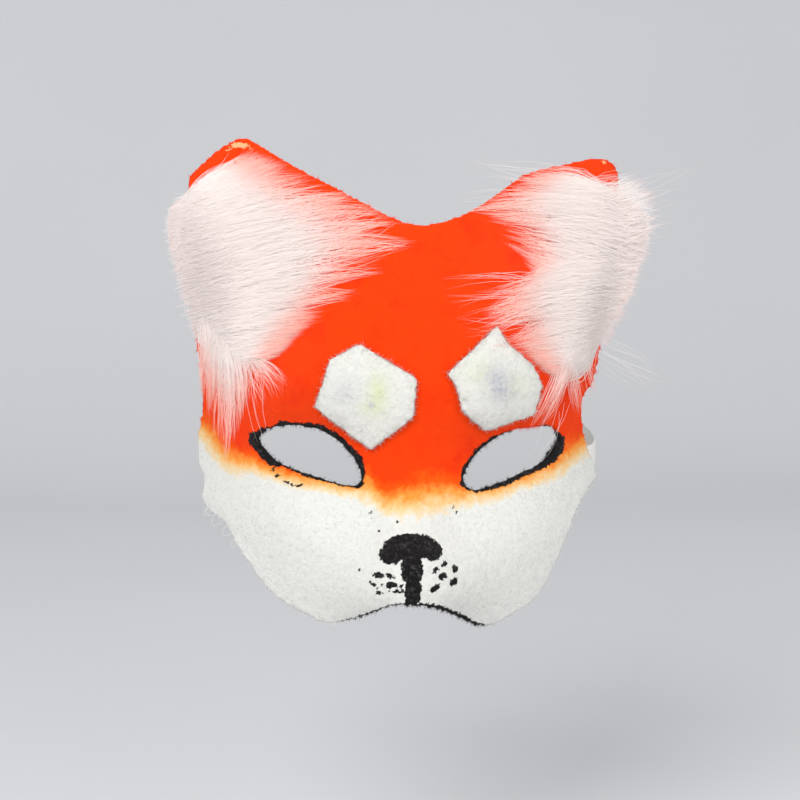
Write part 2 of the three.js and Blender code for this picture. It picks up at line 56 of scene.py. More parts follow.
# Face shell
# A stiff half-face blank, 2.5 mm thick, with felt glued over its front and round its edges. The
# felt is dyed orange above and fades through yellow to white. The nose, the mouth line, the
# whisker dots and the rims of the eye holes are painted black on it.
MM = 0.001
SHELL_VOXEL = 1.15 * MM
RIM_ANGLE = math.radians(55)
RIM_SPACING = 0.6 * MM
RIM_REACH = 3.0 * MM
EVEN_PULL = 0.5
EDGE_ROUNDS = 6
KEEP_SIZE = 1.03
SURFACE_ROUNDS = 45
FRONT_FACING = -0.15
PAINT_FACING = 0.2
FELT_FULL = 0.9 * MM
FELT_GONE = 1.7 * MM
PAINT_REACH = 2.1 * MM
NO_PAINT = -9.0
FADE_RANGE = (-3, 4)
PAINT_RANGE = (-4, 4)

# The camera stands 0.6 m in front of the brow, a little to the left and above. Marks on the front
# of the mask are placed by where it sees them, as across and down in a picture 800 wide.
PICTURE = 800
PICTURE_SCALE = 2.65
CAMERA_TARGET = np.array([-3.0, 3.8, 28.0]) * MM
CAMERA_DISTANCE = 600 * MM
CAMERA_TURN = math.radians(-3.5)
CAMERA_RISE = math.radians(5.0)

camera_back = np.array([
    math.sin(CAMERA_TURN) * math.cos(CAMERA_RISE),
    -math.cos(CAMERA_TURN) * math.cos(CAMERA_RISE),
    math.sin(CAMERA_RISE),
])
camera_right = np.cross(-camera_back, [0.0, 0.0, 1.0])
camera_right /= np.linalg.norm(camera_right)
camera_up = np.cross(camera_right, -camera_back)
camera_place = CAMERA_TARGET + camera_back * CAMERA_DISTANCE
picture_focal = PICTURE_SCALE / MM * CAMERA_DISTANCE


def table(names, rows):
    """Rows of values under named columns."""
    return [dict(zip(names.split(), row)) for row in rows]


DYE_EDGE = table("across orange_ends white_starts", [
    (198, 404, 441),
    (210, 412, 458),
    (222, 428, 474),
    (237, 442, 479),
    (250, 448, 476),
    (264, 456, 479),
    (286, 463, 488),
    (317, 470, 493),
    (351, 474, 500),
    (368, 462, 506),
    (384, 484, 517),
    (404, 474, 522),
    (432, 466, 519),
    (450, 470, 513),
    (467, 476, 509),
    (495, 476, 503),
    (523, 466, 492),
    (551, 450, 484),
    (567, 432, 476),
    (586, 424, 459),
])

OVAL = "across down half_width half_height tilt"
NOSE_PAINT = table(OVAL, [
    (411, 547, 10.2, 5.1, 0),
    (391, 554, 4.7, 4.0, 0),
    (432, 551, 4.0, 3.8, 0),
    (412, 570, 4.3, 6.0, 0),
    (413, 590, 3.2, 6.8, 0),
    (411, 603, 2.6, 2.3, 0),
    (410, 607, 3.8, 1.1, 0),
])
WHISKER_DOTS = table(OVAL, [
    (444.6, 564.0, 1.4, 0.9, 60),
    (435.7, 570.0, 1.8, 0.8, 45),
    (454.8, 569.0, 1.1, 1.5, 0),
    (442.6, 576.0, 1.7, 1.2, 10),
    (453.5, 582.0, 2.0, 1.3, 35),
    (435.0, 588.0, 2.3, 1.1, 35),
    (378.0, 575.0, 2.3, 1.2, -10),
    (390.0, 576.0, 1.7, 0.9, -20),
    (390.5, 585.0, 3.0, 1.1, -5),
    (401.0, 586.5, 0.9, 0.6, 0),
    (395.6, 591.5, 2.6, 0.6, 0),
    (373.7, 585.0, 1.9, 0.5, -35),
    (378.6, 592.7, 1.5, 0.6, -10),
    (273.0, 469.5, 0.8, 0.6, 30),
    (277.0, 476.0, 1.0, 0.6, 40),
    (288.0, 483.0, 1.2, 0.5, -20),
    (298.0, 485.5, 1.5, 0.5, 0),
    (370.6, 512.0, 0.5, 0.5, 0),
    (372.0, 518.0, 0.5, 0.5, 0),
    (397.0, 522.0, 0.5, 0.5, 0),
    (378.6, 530.6, 0.5, 0.5, 0),
    (359.4, 569.7, 0.5, 0.5, 0),
    (456.0, 512.0, 0.5, 0.5, 0),
    (452.0, 507.0, 0.5, 0.5, 0),
    (449.5, 518.5, 0.5, 0.5, 0),
])

MOUTH_LINE = table("across width", [
    (336, 0.0), (344, 0.9), (374, 1.1), (401, 1.2), (425, 1.5), (444, 2.0), (462, 1.9), (481, 1.3),
    (491, 0.0),
])
MOUTH_TOP = 592

EYE_PAINT = {
    "left": table("across down", [
        (248, 441), (250, 433), (260, 429), (276, 425), (280, 420), (290, 422), (310, 423),
        (324, 425), (337, 433), (351, 445), (363, 458), (365, 470), (363, 487), (356, 488),
        (337, 485), (304, 476), (284, 467), (270, 466), (262, 458), (254, 450),
    ]),
    "right": table("across down", [
        (460, 485), (467, 490), (477, 493), (491, 490), (508, 485), (525, 476), (545, 468),
        (556, 461), (564, 450), (565, 437), (558, 432), (549, 425), (543, 425), (533, 429),
        (520, 429), (508, 431), (491, 437), (479, 446), (468, 459), (462, 468),
    ]),
}

SPOT = "across down width height depth"
WORN_SPOTS = table(SPOT, [
    (240, 145, 11, 4, 1.0),
    (228, 150, 7, 3, 0.6),
    (252, 150, 6, 4, 0.4),
    (604, 163, 7, 4, 0.7),
    (466, 267, 5, 2, 0.5),
    (440, 496, 10, 8, 0.25),
])
FINE_AREAS = table("left right top bottom", [
    (325, 500, 522, 636),
    (240, 372, 412, 496),
    (452, 574, 416, 500),
])
CREASES = table("from_across from_down to_across to_down width depth", [
    (214, 512, 262, 562, 1.6, 0.35),
    (208, 500, 236, 548, 1.3, 0.25),
    (352, 507, 382, 520, 1.2, 0.25),
    (440, 512, 460, 524, 1.2, 0.20),
])
FELT_LUMPS = table("size height", [(5.0, 0.16), (1.9, 0.10)])


def seen_at(points):
    """Where the camera sees each point, as across and down."""
    away = points - camera_place
    depth = away @ -camera_back
    across = PICTURE / 2 + away @ camera_right / depth * picture_focal
    down = PICTURE / 2 - away @ camera_up / depth * picture_focal
    return np.stack([across, down], 1)


def columns(rows, names):
    """A table's named columns as one array."""
    return np.array([[row[name] for name in names.split()] for row in rows], float)


def smooth_step(low, high, value):
    share = np.clip((value - low) / (high - low), 0.0, 1.0)
    return share * share * (3 - 2 * share)


def unit(vectors):
    return vectors / np.maximum(np.linalg.norm(vectors, axis=-1, keepdims=True), 1e-12)


def welded_copy(node):
    """A copy of a solid's mesh whose triangles share their corners."""
    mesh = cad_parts[node].data.copy()
    work = bmesh.new()
    work.from_mesh(mesh)
    bmesh.ops.remove_doubles(work, verts=work.verts, dist=1e-6)
    work.to_mesh(mesh)
    work.free()
    mesh.materials.clear()
    return mesh


def remeshed(mesh, voxel):
    """The mesh again in even small squares."""
    carrier = bpy.data.objects.new("remesh", mesh)
    bpy.context.scene.collection.objects.link(carrier)
    modifier = carrier.modifiers.new("remesh", "REMESH")
    modifier.mode = "VOXEL"
    modifier.voxel_size = voxel
    modifier.adaptivity = 0.0
    graph = bpy.context.evaluated_depsgraph_get()
    result = bpy.data.meshes.new_from_object(carrier.evaluated_get(graph))
    bpy.data.objects.remove(carrier)
    return result


def read(items, name, width=1, kind=np.float32):
    """One value of each of a mesh's items, as rows of a width."""
    flat = np.empty(len(items) * width, kind)
    items.foreach_get(name, flat)
    return flat.reshape(-1, width)


def places(mesh):
    return read(mesh.vertices, "co", 3).astype(float)


def set_places(mesh, points):
    mesh.vertices.foreach_set("co", points.astype(np.float32).ravel())
    mesh.update()


def normals(mesh):
    return read(mesh.vertex_normals, "vector", 3).astype(float)


def relaxed(mesh, points, rounds, weight, give_back=0.0):
    """Moves each point towards the middle of its neighbours, and back again by a share of that."""
    ends = read(mesh.edges, "vertices", 2, np.int32)
    count = len(points)
    share = 1.0 / np.maximum(np.bincount(ends.ravel(), minlength=count), 1)
    pulls = (1.0, -give_back) if give_back else (1.0,)
    for pull in pulls * rounds:
        middle = np.empty_like(points)
        for axis in range(3):
            total = np.bincount(ends[:, 0], points[ends[:, 1], axis], count)
            total += np.bincount(ends[:, 1], points[ends[:, 0], axis], count)
            middle[:, axis] = total * share
        points = points + (middle - points) * pull * weight[:, None]
    return points


def sharp_line_points(mesh, spacing):
    """Points along the edges where a mesh turns sharply."""
    work = bmesh.new()
    work.from_mesh(mesh)
    found = []
    for edge in work.edges:
        if len(edge.link_faces) == 2 and edge.calc_face_angle(0.0) > RIM_ANGLE:
            start, end = (np.array(corner.co) for corner in edge.verts)
            pieces = max(1, int(np.linalg.norm(end - start) / spacing))
            found.extend(start + (end - start) * step / pieces for step in range(pieces))
    work.free()
    return np.array(found)


def distances(points, targets):
    """How far each point is from the nearest target."""
    tree = KDTree(len(targets))
    for number, target in enumerate(targets):
        tree.insert(target, number)
    tree.balance()
    return np.array([tree.find(point)[2] for point in points])


def search_tree(mesh, faces):
    return BVHTree.FromPolygons(
        [corner.co for corner in mesh.vertices], [list(face.vertices) for face in faces]
    )


def lumpy(points, lumps):
    """Uneven heights over a surface, in millimetres, from soft lumps of a few sizes."""
    return np.array([
        sum(noise.noise(Vector(point) / (lump["size"] * MM)) * lump["height"] for lump in lumps)
        for point in points
    ])


def store(mesh, name, values):
    """Keeps one number for each point, which the materials read by name."""
    layer = mesh.attributes.new(name, "FLOAT", "POINT")
    layer.data.foreach_set("value", np.asarray(values, np.float32))


def segment_distance(marks, start, end):
    """Distance from each mark to a line between two marks, and the share along it."""
    run = end - start
    share = np.clip((marks - start) @ run / (run @ run), 0.0, 1.0)
    return np.linalg.norm(marks - start - share[:, None] * run, axis=1), share


def oval_depth(marks, row):
    """How deep each mark lies in a tilted oval, in millimetres, negative outside."""
    turn = math.radians(row["tilt"])
    away = (marks - [row["across"], row["down"]]) / PICTURE_SCALE
    along = away[:, 0] * math.cos(turn) - away[:, 1] * math.sin(turn)
    beside = away[:, 0] * math.sin(turn) + away[:, 1] * math.cos(turn)
    reach = np.hypot(along / row["half_width"], beside / row["half_height"])
    return (1 - reach) * min(row["half_width"], row["half_height"])


def outline_depth(marks, rows):
    """How deep each mark lies in a closed outline, in millimetres, negative outside."""
    corners = columns(rows, "across down")
    nearest = np.full(len(marks), np.inf)
    inside = np.zeros(len(marks), bool)
    for start, end in zip(corners, np.roll(corners, -1, axis=0)):
        nearest = np.minimum(nearest, segment_distance(marks, start, end)[0])
        spans = (start[1] > marks[:, 1]) != (end[1] > marks[:, 1])
        rise = end[1] - start[1] if end[1] != start[1] else 1e-9
        crossing = start[0] + (marks[:, 1] - start[1]) / rise * (end[0] - start[0])
        inside ^= spans & (marks[:, 0] < crossing)
    return np.where(inside, nearest, -nearest) / PICTURE_SCALE


def soft_spots(marks, rows):
    """Round spots that fade out, added together."""
    total = np.zeros(len(marks))
    for row in rows:
        away = (marks - [row["across"], row["down"]]) / [row["width"], row["height"]]
        total += row["depth"] * np.exp(-(away ** 2).sum(1))
    return np.clip(total, 0.0, 1.0)


shell_blank = welded_copy("face_shell")
rim_points = sharp_line_points(shell_blank, RIM_SPACING)
shell_tree = search_tree(shell_blank, shell_blank.polygons)
front_tree = search_tree(
    shell_blank, [face for face in shell_blank.polygons if face.normal.y < FRONT_FACING]
)

shell_mesh = remeshed(shell_blank, SHELL_VOXEL)
shell_places = places(shell_mesh)
rim_distance = distances(shell_places, rim_points)
everywhere = np.full(len(shell_places), EVEN_PULL)
shell_places = relaxed(shell_mesh, shell_places, EDGE_ROUNDS, everywhere, KEEP_SIZE)
away_from_rim = EVEN_PULL * smooth_step(RIM_SPACING, RIM_REACH, rim_distance)
shell_places = relaxed(shell_mesh, shell_places, SURFACE_ROUNDS, away_from_rim)
set_places(shell_mesh, shell_places)

# The painted areas need finer squares than the rest
work = bmesh.new()
work.from_mesh(shell_mesh)
work.faces.ensure_lookup_table()
marks = seen_at(np.array([face.calc_center_median() for face in work.faces]))
fine = np.zeros(len(marks), bool)
for area in FINE_AREAS:
    inside = (marks > [area["left"], area["top"]]) & (marks < [area["right"], area["bottom"]])
    fine |= inside.all(1)
fine &= np.array([face.normal.y for face in work.faces]) < PAINT_FACING
fine_edges = {edge for number in np.flatnonzero(fine) for edge in work.faces[number].edges}
bmesh.ops.subdivide_edges(work, edges=list(fine_edges), cuts=1, use_grid_fill=True)
work.to_mesh(shell_mesh)
work.free()

shell_places = places(shell_mesh)
shell_normals = normals(shell_mesh)
marks = seen_at(shell_places)
rim_distance = distances(shell_places, rim_points)
front_distance = np.array([front_tree.find_nearest(point)[3] for point in shell_places])
felt_layer = 1 - smooth_step(FELT_FULL, FELT_GONE, front_distance)

# Soft creases in the felt and the lumps of its surface
relief = np.zeros(len(shell_places))
for crease in CREASES:
    start = np.array([crease["from_across"], crease["from_down"]], float)
    end = np.array([crease["to_across"], crease["to_down"]], float)
    beside, along = segment_distance(marks, start, end)
    fade = np.sin(np.pi * np.clip(along, 0.02, 0.98)) ** 0.5
    relief -= crease["depth"] * MM * fade * np.exp(-(beside / PICTURE_SCALE / crease["width"]) ** 2)
relief += lumpy(shell_places, FELT_LUMPS) * MM
shell_places += shell_normals * (relief * felt_layer)[:, None]
set_places(shell_mesh, shell_places)

dye_rows = columns(DYE_EDGE, "across orange_ends white_starts")
orange_ends = np.interp(marks[:, 0], dye_rows[:, 0], dye_rows[:, 1])
white_starts = np.interp(marks[:, 0], dye_rows[:, 0], dye_rows[:, 2])
dye_fade = np.clip((marks[:, 1] - orange_ends) / (white_starts - orange_ends), *FADE_RANGE)

black = np.full(len(marks), NO_PAINT)
for row in NOSE_PAINT + WHISKER_DOTS:
    black = np.maximum(black, oval_depth(marks, row))
mouth_rows = columns(MOUTH_LINE, "across width")
mouth_width = np.interp(marks[:, 0], mouth_rows[:, 0], mouth_rows[:, 1])
at_mouth = (marks[:, 1] > MOUTH_TOP) & (mouth_width > 0)
black = np.where(at_mouth, np.maximum(black, mouth_width - rim_distance / MM), black)
for side in ("left", "right"):
    black = np.maximum(black, outline_depth(marks, EYE_PAINT[side]))
black = np.clip(np.where(front_distance < PAINT_REACH, black, NO_PAINT), *PAINT_RANGE)

store(shell_mesh, "felt_layer", felt_layer)
store(shell_mesh, "dye_fade", dye_fade)
store(shell_mesh, "black_paint", black)
store(shell_mesh, "worn", soft_spots(marks, WORN_SPOTS))


def piece(name, mesh, paint, replaced=()):
    """Puts a smooth mesh in the scene as a piece of the mask, in its material."""
    mesh.materials.append(paint)
    mesh.polygons.foreach_set("use_smooth", np.ones(len(mesh.polygons), bool))
    built = bpy.data.objects.new(name, mesh)
    bpy.context.scene.collection.objects.link(built)
    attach(built, "root")
    for node in replaced:
        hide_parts(node)
    return built


def new_paint(name, finish):
    """A material with its even values set, its node tree and its shader."""
    paint = bpy.data.materials.new(name)
    paint.use_nodes = True
    shader = paint.node_tree.nodes["Principled BSDF"]
    for socket, value in finish.items():
        shader.inputs[socket].default_value = value
    return paint, paint.node_tree, shader


def add(tree, kind, inputs=None, **settings):
    """Adds a node, sets it, and joins or fills its sockets by name or number."""
    made = tree.nodes.new(kind)
    for name, value in settings.items():
        setattr(made, name, value)
    for socket, value in (inputs or {}).items():
        if isinstance(value, bpy.types.NodeSocket):
            tree.links.new(value, made.inputs[socket])
        else:
            made.inputs[socket].default_value = value
    return made


def attribute(tree, name):
    return add(tree, "ShaderNodeAttribute", attribute_name=name).outputs["Fac"]


def sums(tree, operation, first, second=0.0, clamp=False):
    made = add(tree, "ShaderNodeMath", {0: first, 1: second}, operation=operation, use_clamp=clamp)
    return made.outputs["Value"]


def blend_colours(tree, share, first, second):
    """Mixes two colours: sockets 0, 6 and 7 of the colour mix are its share and its colours."""
    return add(tree, "ShaderNodeMix", {0: share, 6: first, 7: second}, data_type="RGBA").outputs[2]


def remap(tree, value, low, high, new_low=0.0, new_high=1.0, **settings):
    made = add(
        tree,
        "ShaderNodeMapRange",
        {"Value": value, "From Min": low, "From Max": high, "To Min": new_low, "To Max": new_high},
        **settings,
    )
    return made.outputs["Result"]


def cloudy(tree, scale, detail, roughness=0.5, distortion=0.0):
    """Cloudy grain that stays on the object. The scale is in lumps to the metre."""
    return add(tree, "ShaderNodeTexNoise", {
        "Vector": add(tree, "ShaderNodeTexCoord").outputs["Object"],
        "Scale": scale,
        "Detail": detail,
        "Roughness": roughness,
        "Distortion": distortion,
    }).outputs["Fac"]


def bumpy(tree, shader, height, strength, distance):
    """Gives a shader's surface a fine relief."""
    bump = add(tree, "ShaderNodeBump", {"Height": height, "Strength": strength, "Distance": distance})
    tree.links.new(bump.outputs["Normal"], shader.inputs["Normal"])


def new_group(name, inputs, outputs):
    """A shader node group with named sockets, and its two end nodes."""
    group = bpy.data.node_groups.new(name, "ShaderNodeTree")
    for socket, value in inputs.items():
        made = group.interface.new_socket(socket, in_out="INPUT", socket_type="NodeSocketFloat")
        made.default_value = value
    for socket in outputs:
        group.interface.new_socket(socket, in_out="OUTPUT", socket_type="NodeSocketFloat")
    return group, group.nodes.new("NodeGroupInput"), group.nodes.new("NodeGroupOutput")


def use_group(tree, group, values):
    return add(tree, "ShaderNodeGroup", values, node_tree=group)


# Matted fibres: lumps of a size in millimetres, with fine fibre between them
PER_METRE = 1 / MM
felt_nap, nap_in, nap_out = new_group(
    "felt nap", {"Lump Size": 1.4, "Fibre Size": 0.35}, ["Height", "Shade"]
)
lump_scale = sums(felt_nap, "DIVIDE", PER_METRE, nap_in.outputs["Lump Size"])
fibre_scale = sums(felt_nap, "DIVIDE", PER_METRE, nap_in.outputs["Fibre Size"])
nap_lumps = cloudy(felt_nap, lump_scale, detail=3.0, roughness=0.6, distortion=0.6)
nap_fibres = cloudy(felt_nap, fibre_scale, detail=2.0, roughness=0.7, distortion=2.0)
lump_part = sums(felt_nap, "MULTIPLY", nap_lumps, 0.65)
fibre_part = sums(felt_nap, "MULTIPLY", nap_fibres, 0.35)
nap_height = sums(felt_nap, "ADD", lump_part, fibre_part)
felt_nap.links.new(nap_height, nap_out.inputs["Height"])
felt_nap.links.new(remap(felt_nap, nap_height, 0.35, 0.65), nap_out.inputs["Shade"])

# A painted edge that runs into the fibres: how deep in the paint, in millimetres, becomes a mask
ragged_edge, ragged_in, ragged_out = new_group(
    "ragged edge", {"Depth": 0.0, "Ragged": 0.5, "Grain": 1.2, "Soft": 0.25}, ["Mask"]
)
ragged_scale = sums(ragged_edge, "DIVIDE", PER_METRE, ragged_in.outputs["Grain"])
ragged_noise = cloudy(ragged_edge, ragged_scale, detail=3.0, roughness=0.65)
ragged_shift = sums(
    ragged_edge,
    "MULTIPLY",
    sums(ragged_edge, "SUBTRACT", ragged_noise, 0.5),
    sums(ragged_edge, "MULTIPLY", ragged_in.outputs["Ragged"], 4.0),
)
ragged_depth = sums(ragged_edge, "ADD", ragged_in.outputs["Depth"], ragged_shift)
soft_out = sums(ragged_edge, "MULTIPLY", ragged_in.outputs["Soft"], -1.0)
soft_in = ragged_in.outputs["Soft"]
ragged_mask = remap(ragged_edge, ragged_depth, soft_out, soft_in, interpolation_type="SMOOTHSTEP")
ragged_edge.links.new(ragged_mask, ragged_out.inputs["Mask"])

DEEP_ORANGE = (0.80, 0.020, 0.0003, 1.0)
DYE_STOPS = table("place colour", [
    (0.00, (0.93, 0.050, 0.0003, 1.0)),
    (0.25, (0.94, 0.105, 0.001, 1.0)),
    (0.48, (0.94, 0.330, 0.050, 1.0)),
    (0.68, (0.92, 0.560, 0.230, 1.0)),
    (0.86, (0.87, 0.715, 0.480, 1.0)),
    (1.00, (0.79, 0.790, 0.745, 1.0)),
])
WHITE_SHADOW = (0.62, 0.625, 0.60, 1.0)
WORN_PALE = (1.0, 0.62, 0.30, 1.0)
BLANK_WHITE = (0.72, 0.71, 0.67, 1.0)
PAINT_BLACK = (0.006, 0.005, 0.005, 1.0)
PAINT_THIN = (0.055, 0.052, 0.055, 1.0)


def dye_ramp(tree, fade):
    """The dye's colour from orange to white."""
    ramp = tree.nodes.new("ShaderNodeValToRGB")
    while len(ramp.color_ramp.elements) < len(DYE_STOPS):
        ramp.color_ramp.elements.new(0.5)
    for element, stop in zip(ramp.color_ramp.elements, DYE_STOPS):
        element.position = stop["place"]
        element.color = stop["colour"]
    tree.links.new(fade, ramp.inputs["Fac"])
    return ramp.outputs["Color"]


felt_paint, tree, shader = new_paint("dyed felt over a stiff blank", {
    "Specular IOR Level": 0.10, "Sheen Weight": 0.04, "Sheen Roughness": 0.5,
})
nap = use_group(tree, felt_nap, {"Lump Size": 1.5, "Fibre Size": 0.32})
edge_noise = cloudy(tree, 260.0, detail=6.0, roughness=0.7)
fade = sums(tree, "ADD", attribute(tree, "dye_fade"), remap(tree, edge_noise, 0.3, 0.7, -0.14, 0.14))
mottle = cloudy(tree, 90.0, detail=5.0, roughness=0.6)
is_orange = remap(tree, fade, 0.5, 0.1)
deeper = sums(tree, "MULTIPLY", is_orange, remap(tree, mottle, 0.5, 0.72, 0.0, 0.55), True)
dyed = blend_colours(tree, deeper, dye_ramp(tree, fade), DEEP_ORANGE)
is_white = remap(tree, fade, 0.7, 1.1)
# Painted shade: the white felt is darker in the pits of its nap.
pit_shade = sums(tree, "MULTIPLY", is_white, remap(tree, nap.outputs["Shade"], 0.5, 0.0, 0.0, 0.7), True)
dyed = blend_colours(tree, pit_shade, dyed, WHITE_SHADOW)
worn_depth = remap(tree, attribute(tree, "worn"), 0.0, 0.8, -3.2, 1.0)
worn = use_group(tree, ragged_edge, {"Depth": worn_depth, "Ragged": 1.3, "Grain": 1.6, "Soft": 0.5})
dyed = blend_colours(tree, sums(tree, "MULTIPLY", worn.outputs["Mask"], 0.75), dyed, WORN_PALE)
coloured = blend_colours(tree, attribute(tree, "felt_layer"), BLANK_WHITE, dyed)
paint = use_group(tree, ragged_edge, {
    "Depth": attribute(tree, "black_paint"), "Ragged": 0.75, "Grain": 1.3, "Soft": 0.13,
})
thin = remap(tree, nap.outputs["Shade"], 0.55, 0.95)
black_tone = blend_colours(tree, thin, PAINT_BLACK, PAINT_THIN)
coloured = blend_colours(tree, paint.outputs["Mask"], coloured, black_tone)
tree.links.new(coloured, shader.inputs["Base Color"])
tree.links.new(remap(tree, paint.outputs["Mask"], 0.0, 1.0, 0.95, 0.70), shader.inputs["Roughness"])
nap_on_felt = sums(tree, "MULTIPLY", nap.outputs["Height"], attribute(tree, "felt_layer"))
bumpy(tree, shader, nap_on_felt, strength=0.9, distance=1.1 * MM)

piece("felt_shell", shell_mesh, felt_paint, ["face_shell"])


# Loose fibres of the felt
# Short ends of fibre stand out of the felt, most of all along its cut edges, and a few torn loops
# hang at the left cheek. They have the colour of the felt that they grow from.
RIM_FIBRES = 3600
RIM_CROWDED = 0.9 * MM
RIM_LENGTHS = (0.4, 1.5)
NAP_FIBRES = 2900
NAP_LENGTHS = (0.4, 1.0)
NAP_ON_ORANGE = 0.12
FIBRE_UPRIGHT = 0.7
FIBRE_TAPER = np.array([0.07, 0.05, 0.0]) * MM
SURE_FELT = 0.6
FIBRE_SEED = 11
LOOP_STATIONS = 10
LOOP_RADIUS = 0.10 * MM
LOOP_WIDE = 0.6
LOOP_OUT = 0.25
LOOP_OVER = 0.15
LOOP_FADE = 2.0
TORN_LOOPS = table("across down reach turn", [
    (207, 519, 2.6, 200),
    (213, 527, 3.4, 230),
    (222, 536, 3.0, 215),
    (232, 545, 2.2, 240),
    (209, 512, 1.8, 180),
])


def mesh_of(name, corners, faces):
    """A mesh from arrays: faces is a list of arrays, each of faces with one number of corners."""
    made = bpy.data.meshes.new(name)
    made.vertices.add(len(corners))
    made.vertices.foreach_set("co", np.asarray(corners, np.float32).ravel())
    counts = np.concatenate([np.full(len(part), part.shape[1]) for part in faces])
    loops = np.concatenate([part.ravel() for part in faces])
    made.loops.add(len(loops))
    made.loops.foreach_set("vertex_index", loops.astype(np.int32))
    starts = np.concatenate([[0], np.cumsum(counts)[:-1]])
    made.polygons.add(len(counts))
    made.polygons.foreach_set("loop_start", starts.astype(np.int32))
    made.update(calc_edges=True)
    return made


def joined(parts):
    """Several forms, each of corners and faces, as one."""
    faces = []
    offset = 0
    for corners, part_faces in parts:
        faces += [face + offset for face in part_faces]
        offset += len(corners)
    return np.concatenate([corners for corners, _ in parts]), faces


def strands(lines, thickness):
    """Closed three-sided strands that end in a point, and the number of the strand at each corner.
    lines is strand by station by place, thickness the same by radius."""
    count, stations = thickness.shape
    run = unit(np.gradient(lines, axis=1))
    beside = unit(np.cross(run, camera_back))
    above = np.cross(beside, run)
    ring = []
    for corner in range(3):
        turn = math.radians(90 + 120 * corner)
        ring.append(lines + thickness[..., None] * (math.cos(turn) * beside + math.sin(turn) * above))
    body = np.stack(ring, 2)[:, :-1]
    width = (stations - 1) * 3 + 1
    corners = np.concatenate([body.reshape(count, -1, 3), lines[:, -1:]], 1).reshape(-1, 3)
    first = (np.arange(count) * width)[:, None]
    quads = []
    for station in range(stations - 2):
        for corner in range(3):
            low = station * 3 + corner
            beside_low = station * 3 + (corner + 1) % 3
            quads.append([low, low + 3, beside_low + 3, beside_low])
    last = (stations - 2) * 3
    tips = [[last + (corner + 1) % 3, last + corner, last + 3] for corner in range(3)]
    caps = tips + [[0, 1, 2]]
    quad_faces = (first[:, :, None] + np.array(quads)[None]).reshape(-1, 4)
    cap_faces = (first[:, :, None] + np.array(caps)[None]).reshape(-1, 3)
    return corners, [quad_faces, cap_faces], np.repeat(np.arange(count), width)


def leaning(chooser, outward, spread, curling):
    """The directions and curls of short fibres, which lean away from the surface's own direction."""
    lean = chooser.normal(size=outward.shape)
    run = unit(outward * FIBRE_UPRIGHT + lean * spread)
    return run, chooser.normal(size=outward.shape) * curling


def short_fibres(chooser, roots, run, curl, length):
    """Strands that stand out from their roots and bend by their curl."""
    share = np.linspace(0, 1, len(FIBRE_TAPER))[None, :, None]
    bend = run[:, None] * share + curl[:, None] * share ** 2
    radius = FIBRE_TAPER * chooser.uniform(0.7, 1.3, (len(roots), 1))
    return strands(roots[:, None] + bend * length[:, None, None], radius)


chooser = np.random.default_rng(FIBRE_SEED)
on_felt = np.flatnonzero(felt_layer > SURE_FELT)
chance = np.exp(-(rim_distance[on_felt] / RIM_CROWDED) ** 2) + 1e-6
rim_roots = chooser.choice(on_felt, RIM_FIBRES, p=chance / chance.sum())
chance = (dye_fade[on_felt] > 0.5).astype(float) + NAP_ON_ORANGE
nap_roots = chooser.choice(on_felt, NAP_FIBRES, p=chance / chance.sum())
roots = np.concatenate([rim_roots, nap_roots])
length = np.concatenate([
    chooser.uniform(*RIM_LENGTHS, RIM_FIBRES), chooser.uniform(*NAP_LENGTHS, NAP_FIBRES),
]) * MM
run, curl = leaning(chooser, shell_normals[roots], spread=0.55, curling=0.35)
fibre_corners, fibre_faces, numbers = short_fibres(chooser, shell_places[roots], run, curl, length)

# Each torn loop is an arc that leaves the felt and comes back to it
loop_lines = []
for row in TORN_LOOPS:
    off_mark = np.linalg.norm(marks[on_felt] - [row["across"], row["down"]], axis=1)
    root = shell_places[on_felt[off_mark.argmin()]]
    turn = math.radians(row["turn"])
    size = row["reach"] * MM
    away = (math.cos(turn) * camera_right + math.sin(turn) * camera_up) * size
    beside = np.cross(away, camera_back) * LOOP_WIDE
    arc = np.linspace(-LOOP_OVER, 1 + LOOP_OVER, LOOP_STATIONS)[:, None] * math.pi
    loop_lines.append(root + away * np.sin(arc) + beside * np.cos(arc) + camera_back * size * LOOP_OUT)
loop_radius = np.full((len(loop_lines), LOOP_STATIONS), LOOP_RADIUS)
loop_radius[:, -1] = 0
loop_corners, loop_faces, _ = strands(np.array(loop_lines), loop_radius)
fibre_mesh = mesh_of(
    "felt_fibres", *joined([(fibre_corners, fibre_faces), (loop_corners, loop_faces)])
)
white_loops = np.full(len(loop_corners), LOOP_FADE)
store(fibre_mesh, "dye_fade", np.concatenate([dye_fade[roots][numbers], white_loops]))
store(fibre_mesh, "black_paint", np.concatenate([black[roots][numbers], -white_loops]))

fibre_paint, tree, shader = new_paint(
    "loose felt fibres", {"Roughness": 0.8, "Specular IOR Level": 0.25}
)
paint = use_group(tree, ragged_edge, {
    "Depth": attribute(tree, "black_paint"), "Ragged": 0.32, "Grain": 0.9, "Soft": 0.16,
})
dyed = dye_ramp(tree, attribute(tree, "dye_fade"))
coloured = blend_colours(tree, paint.outputs["Mask"], dyed, PAINT_BLACK)
tree.links.new(coloured, shader.inputs["Base Color"])
piece("felt_fibres", fibre_mesh, fibre_paint)
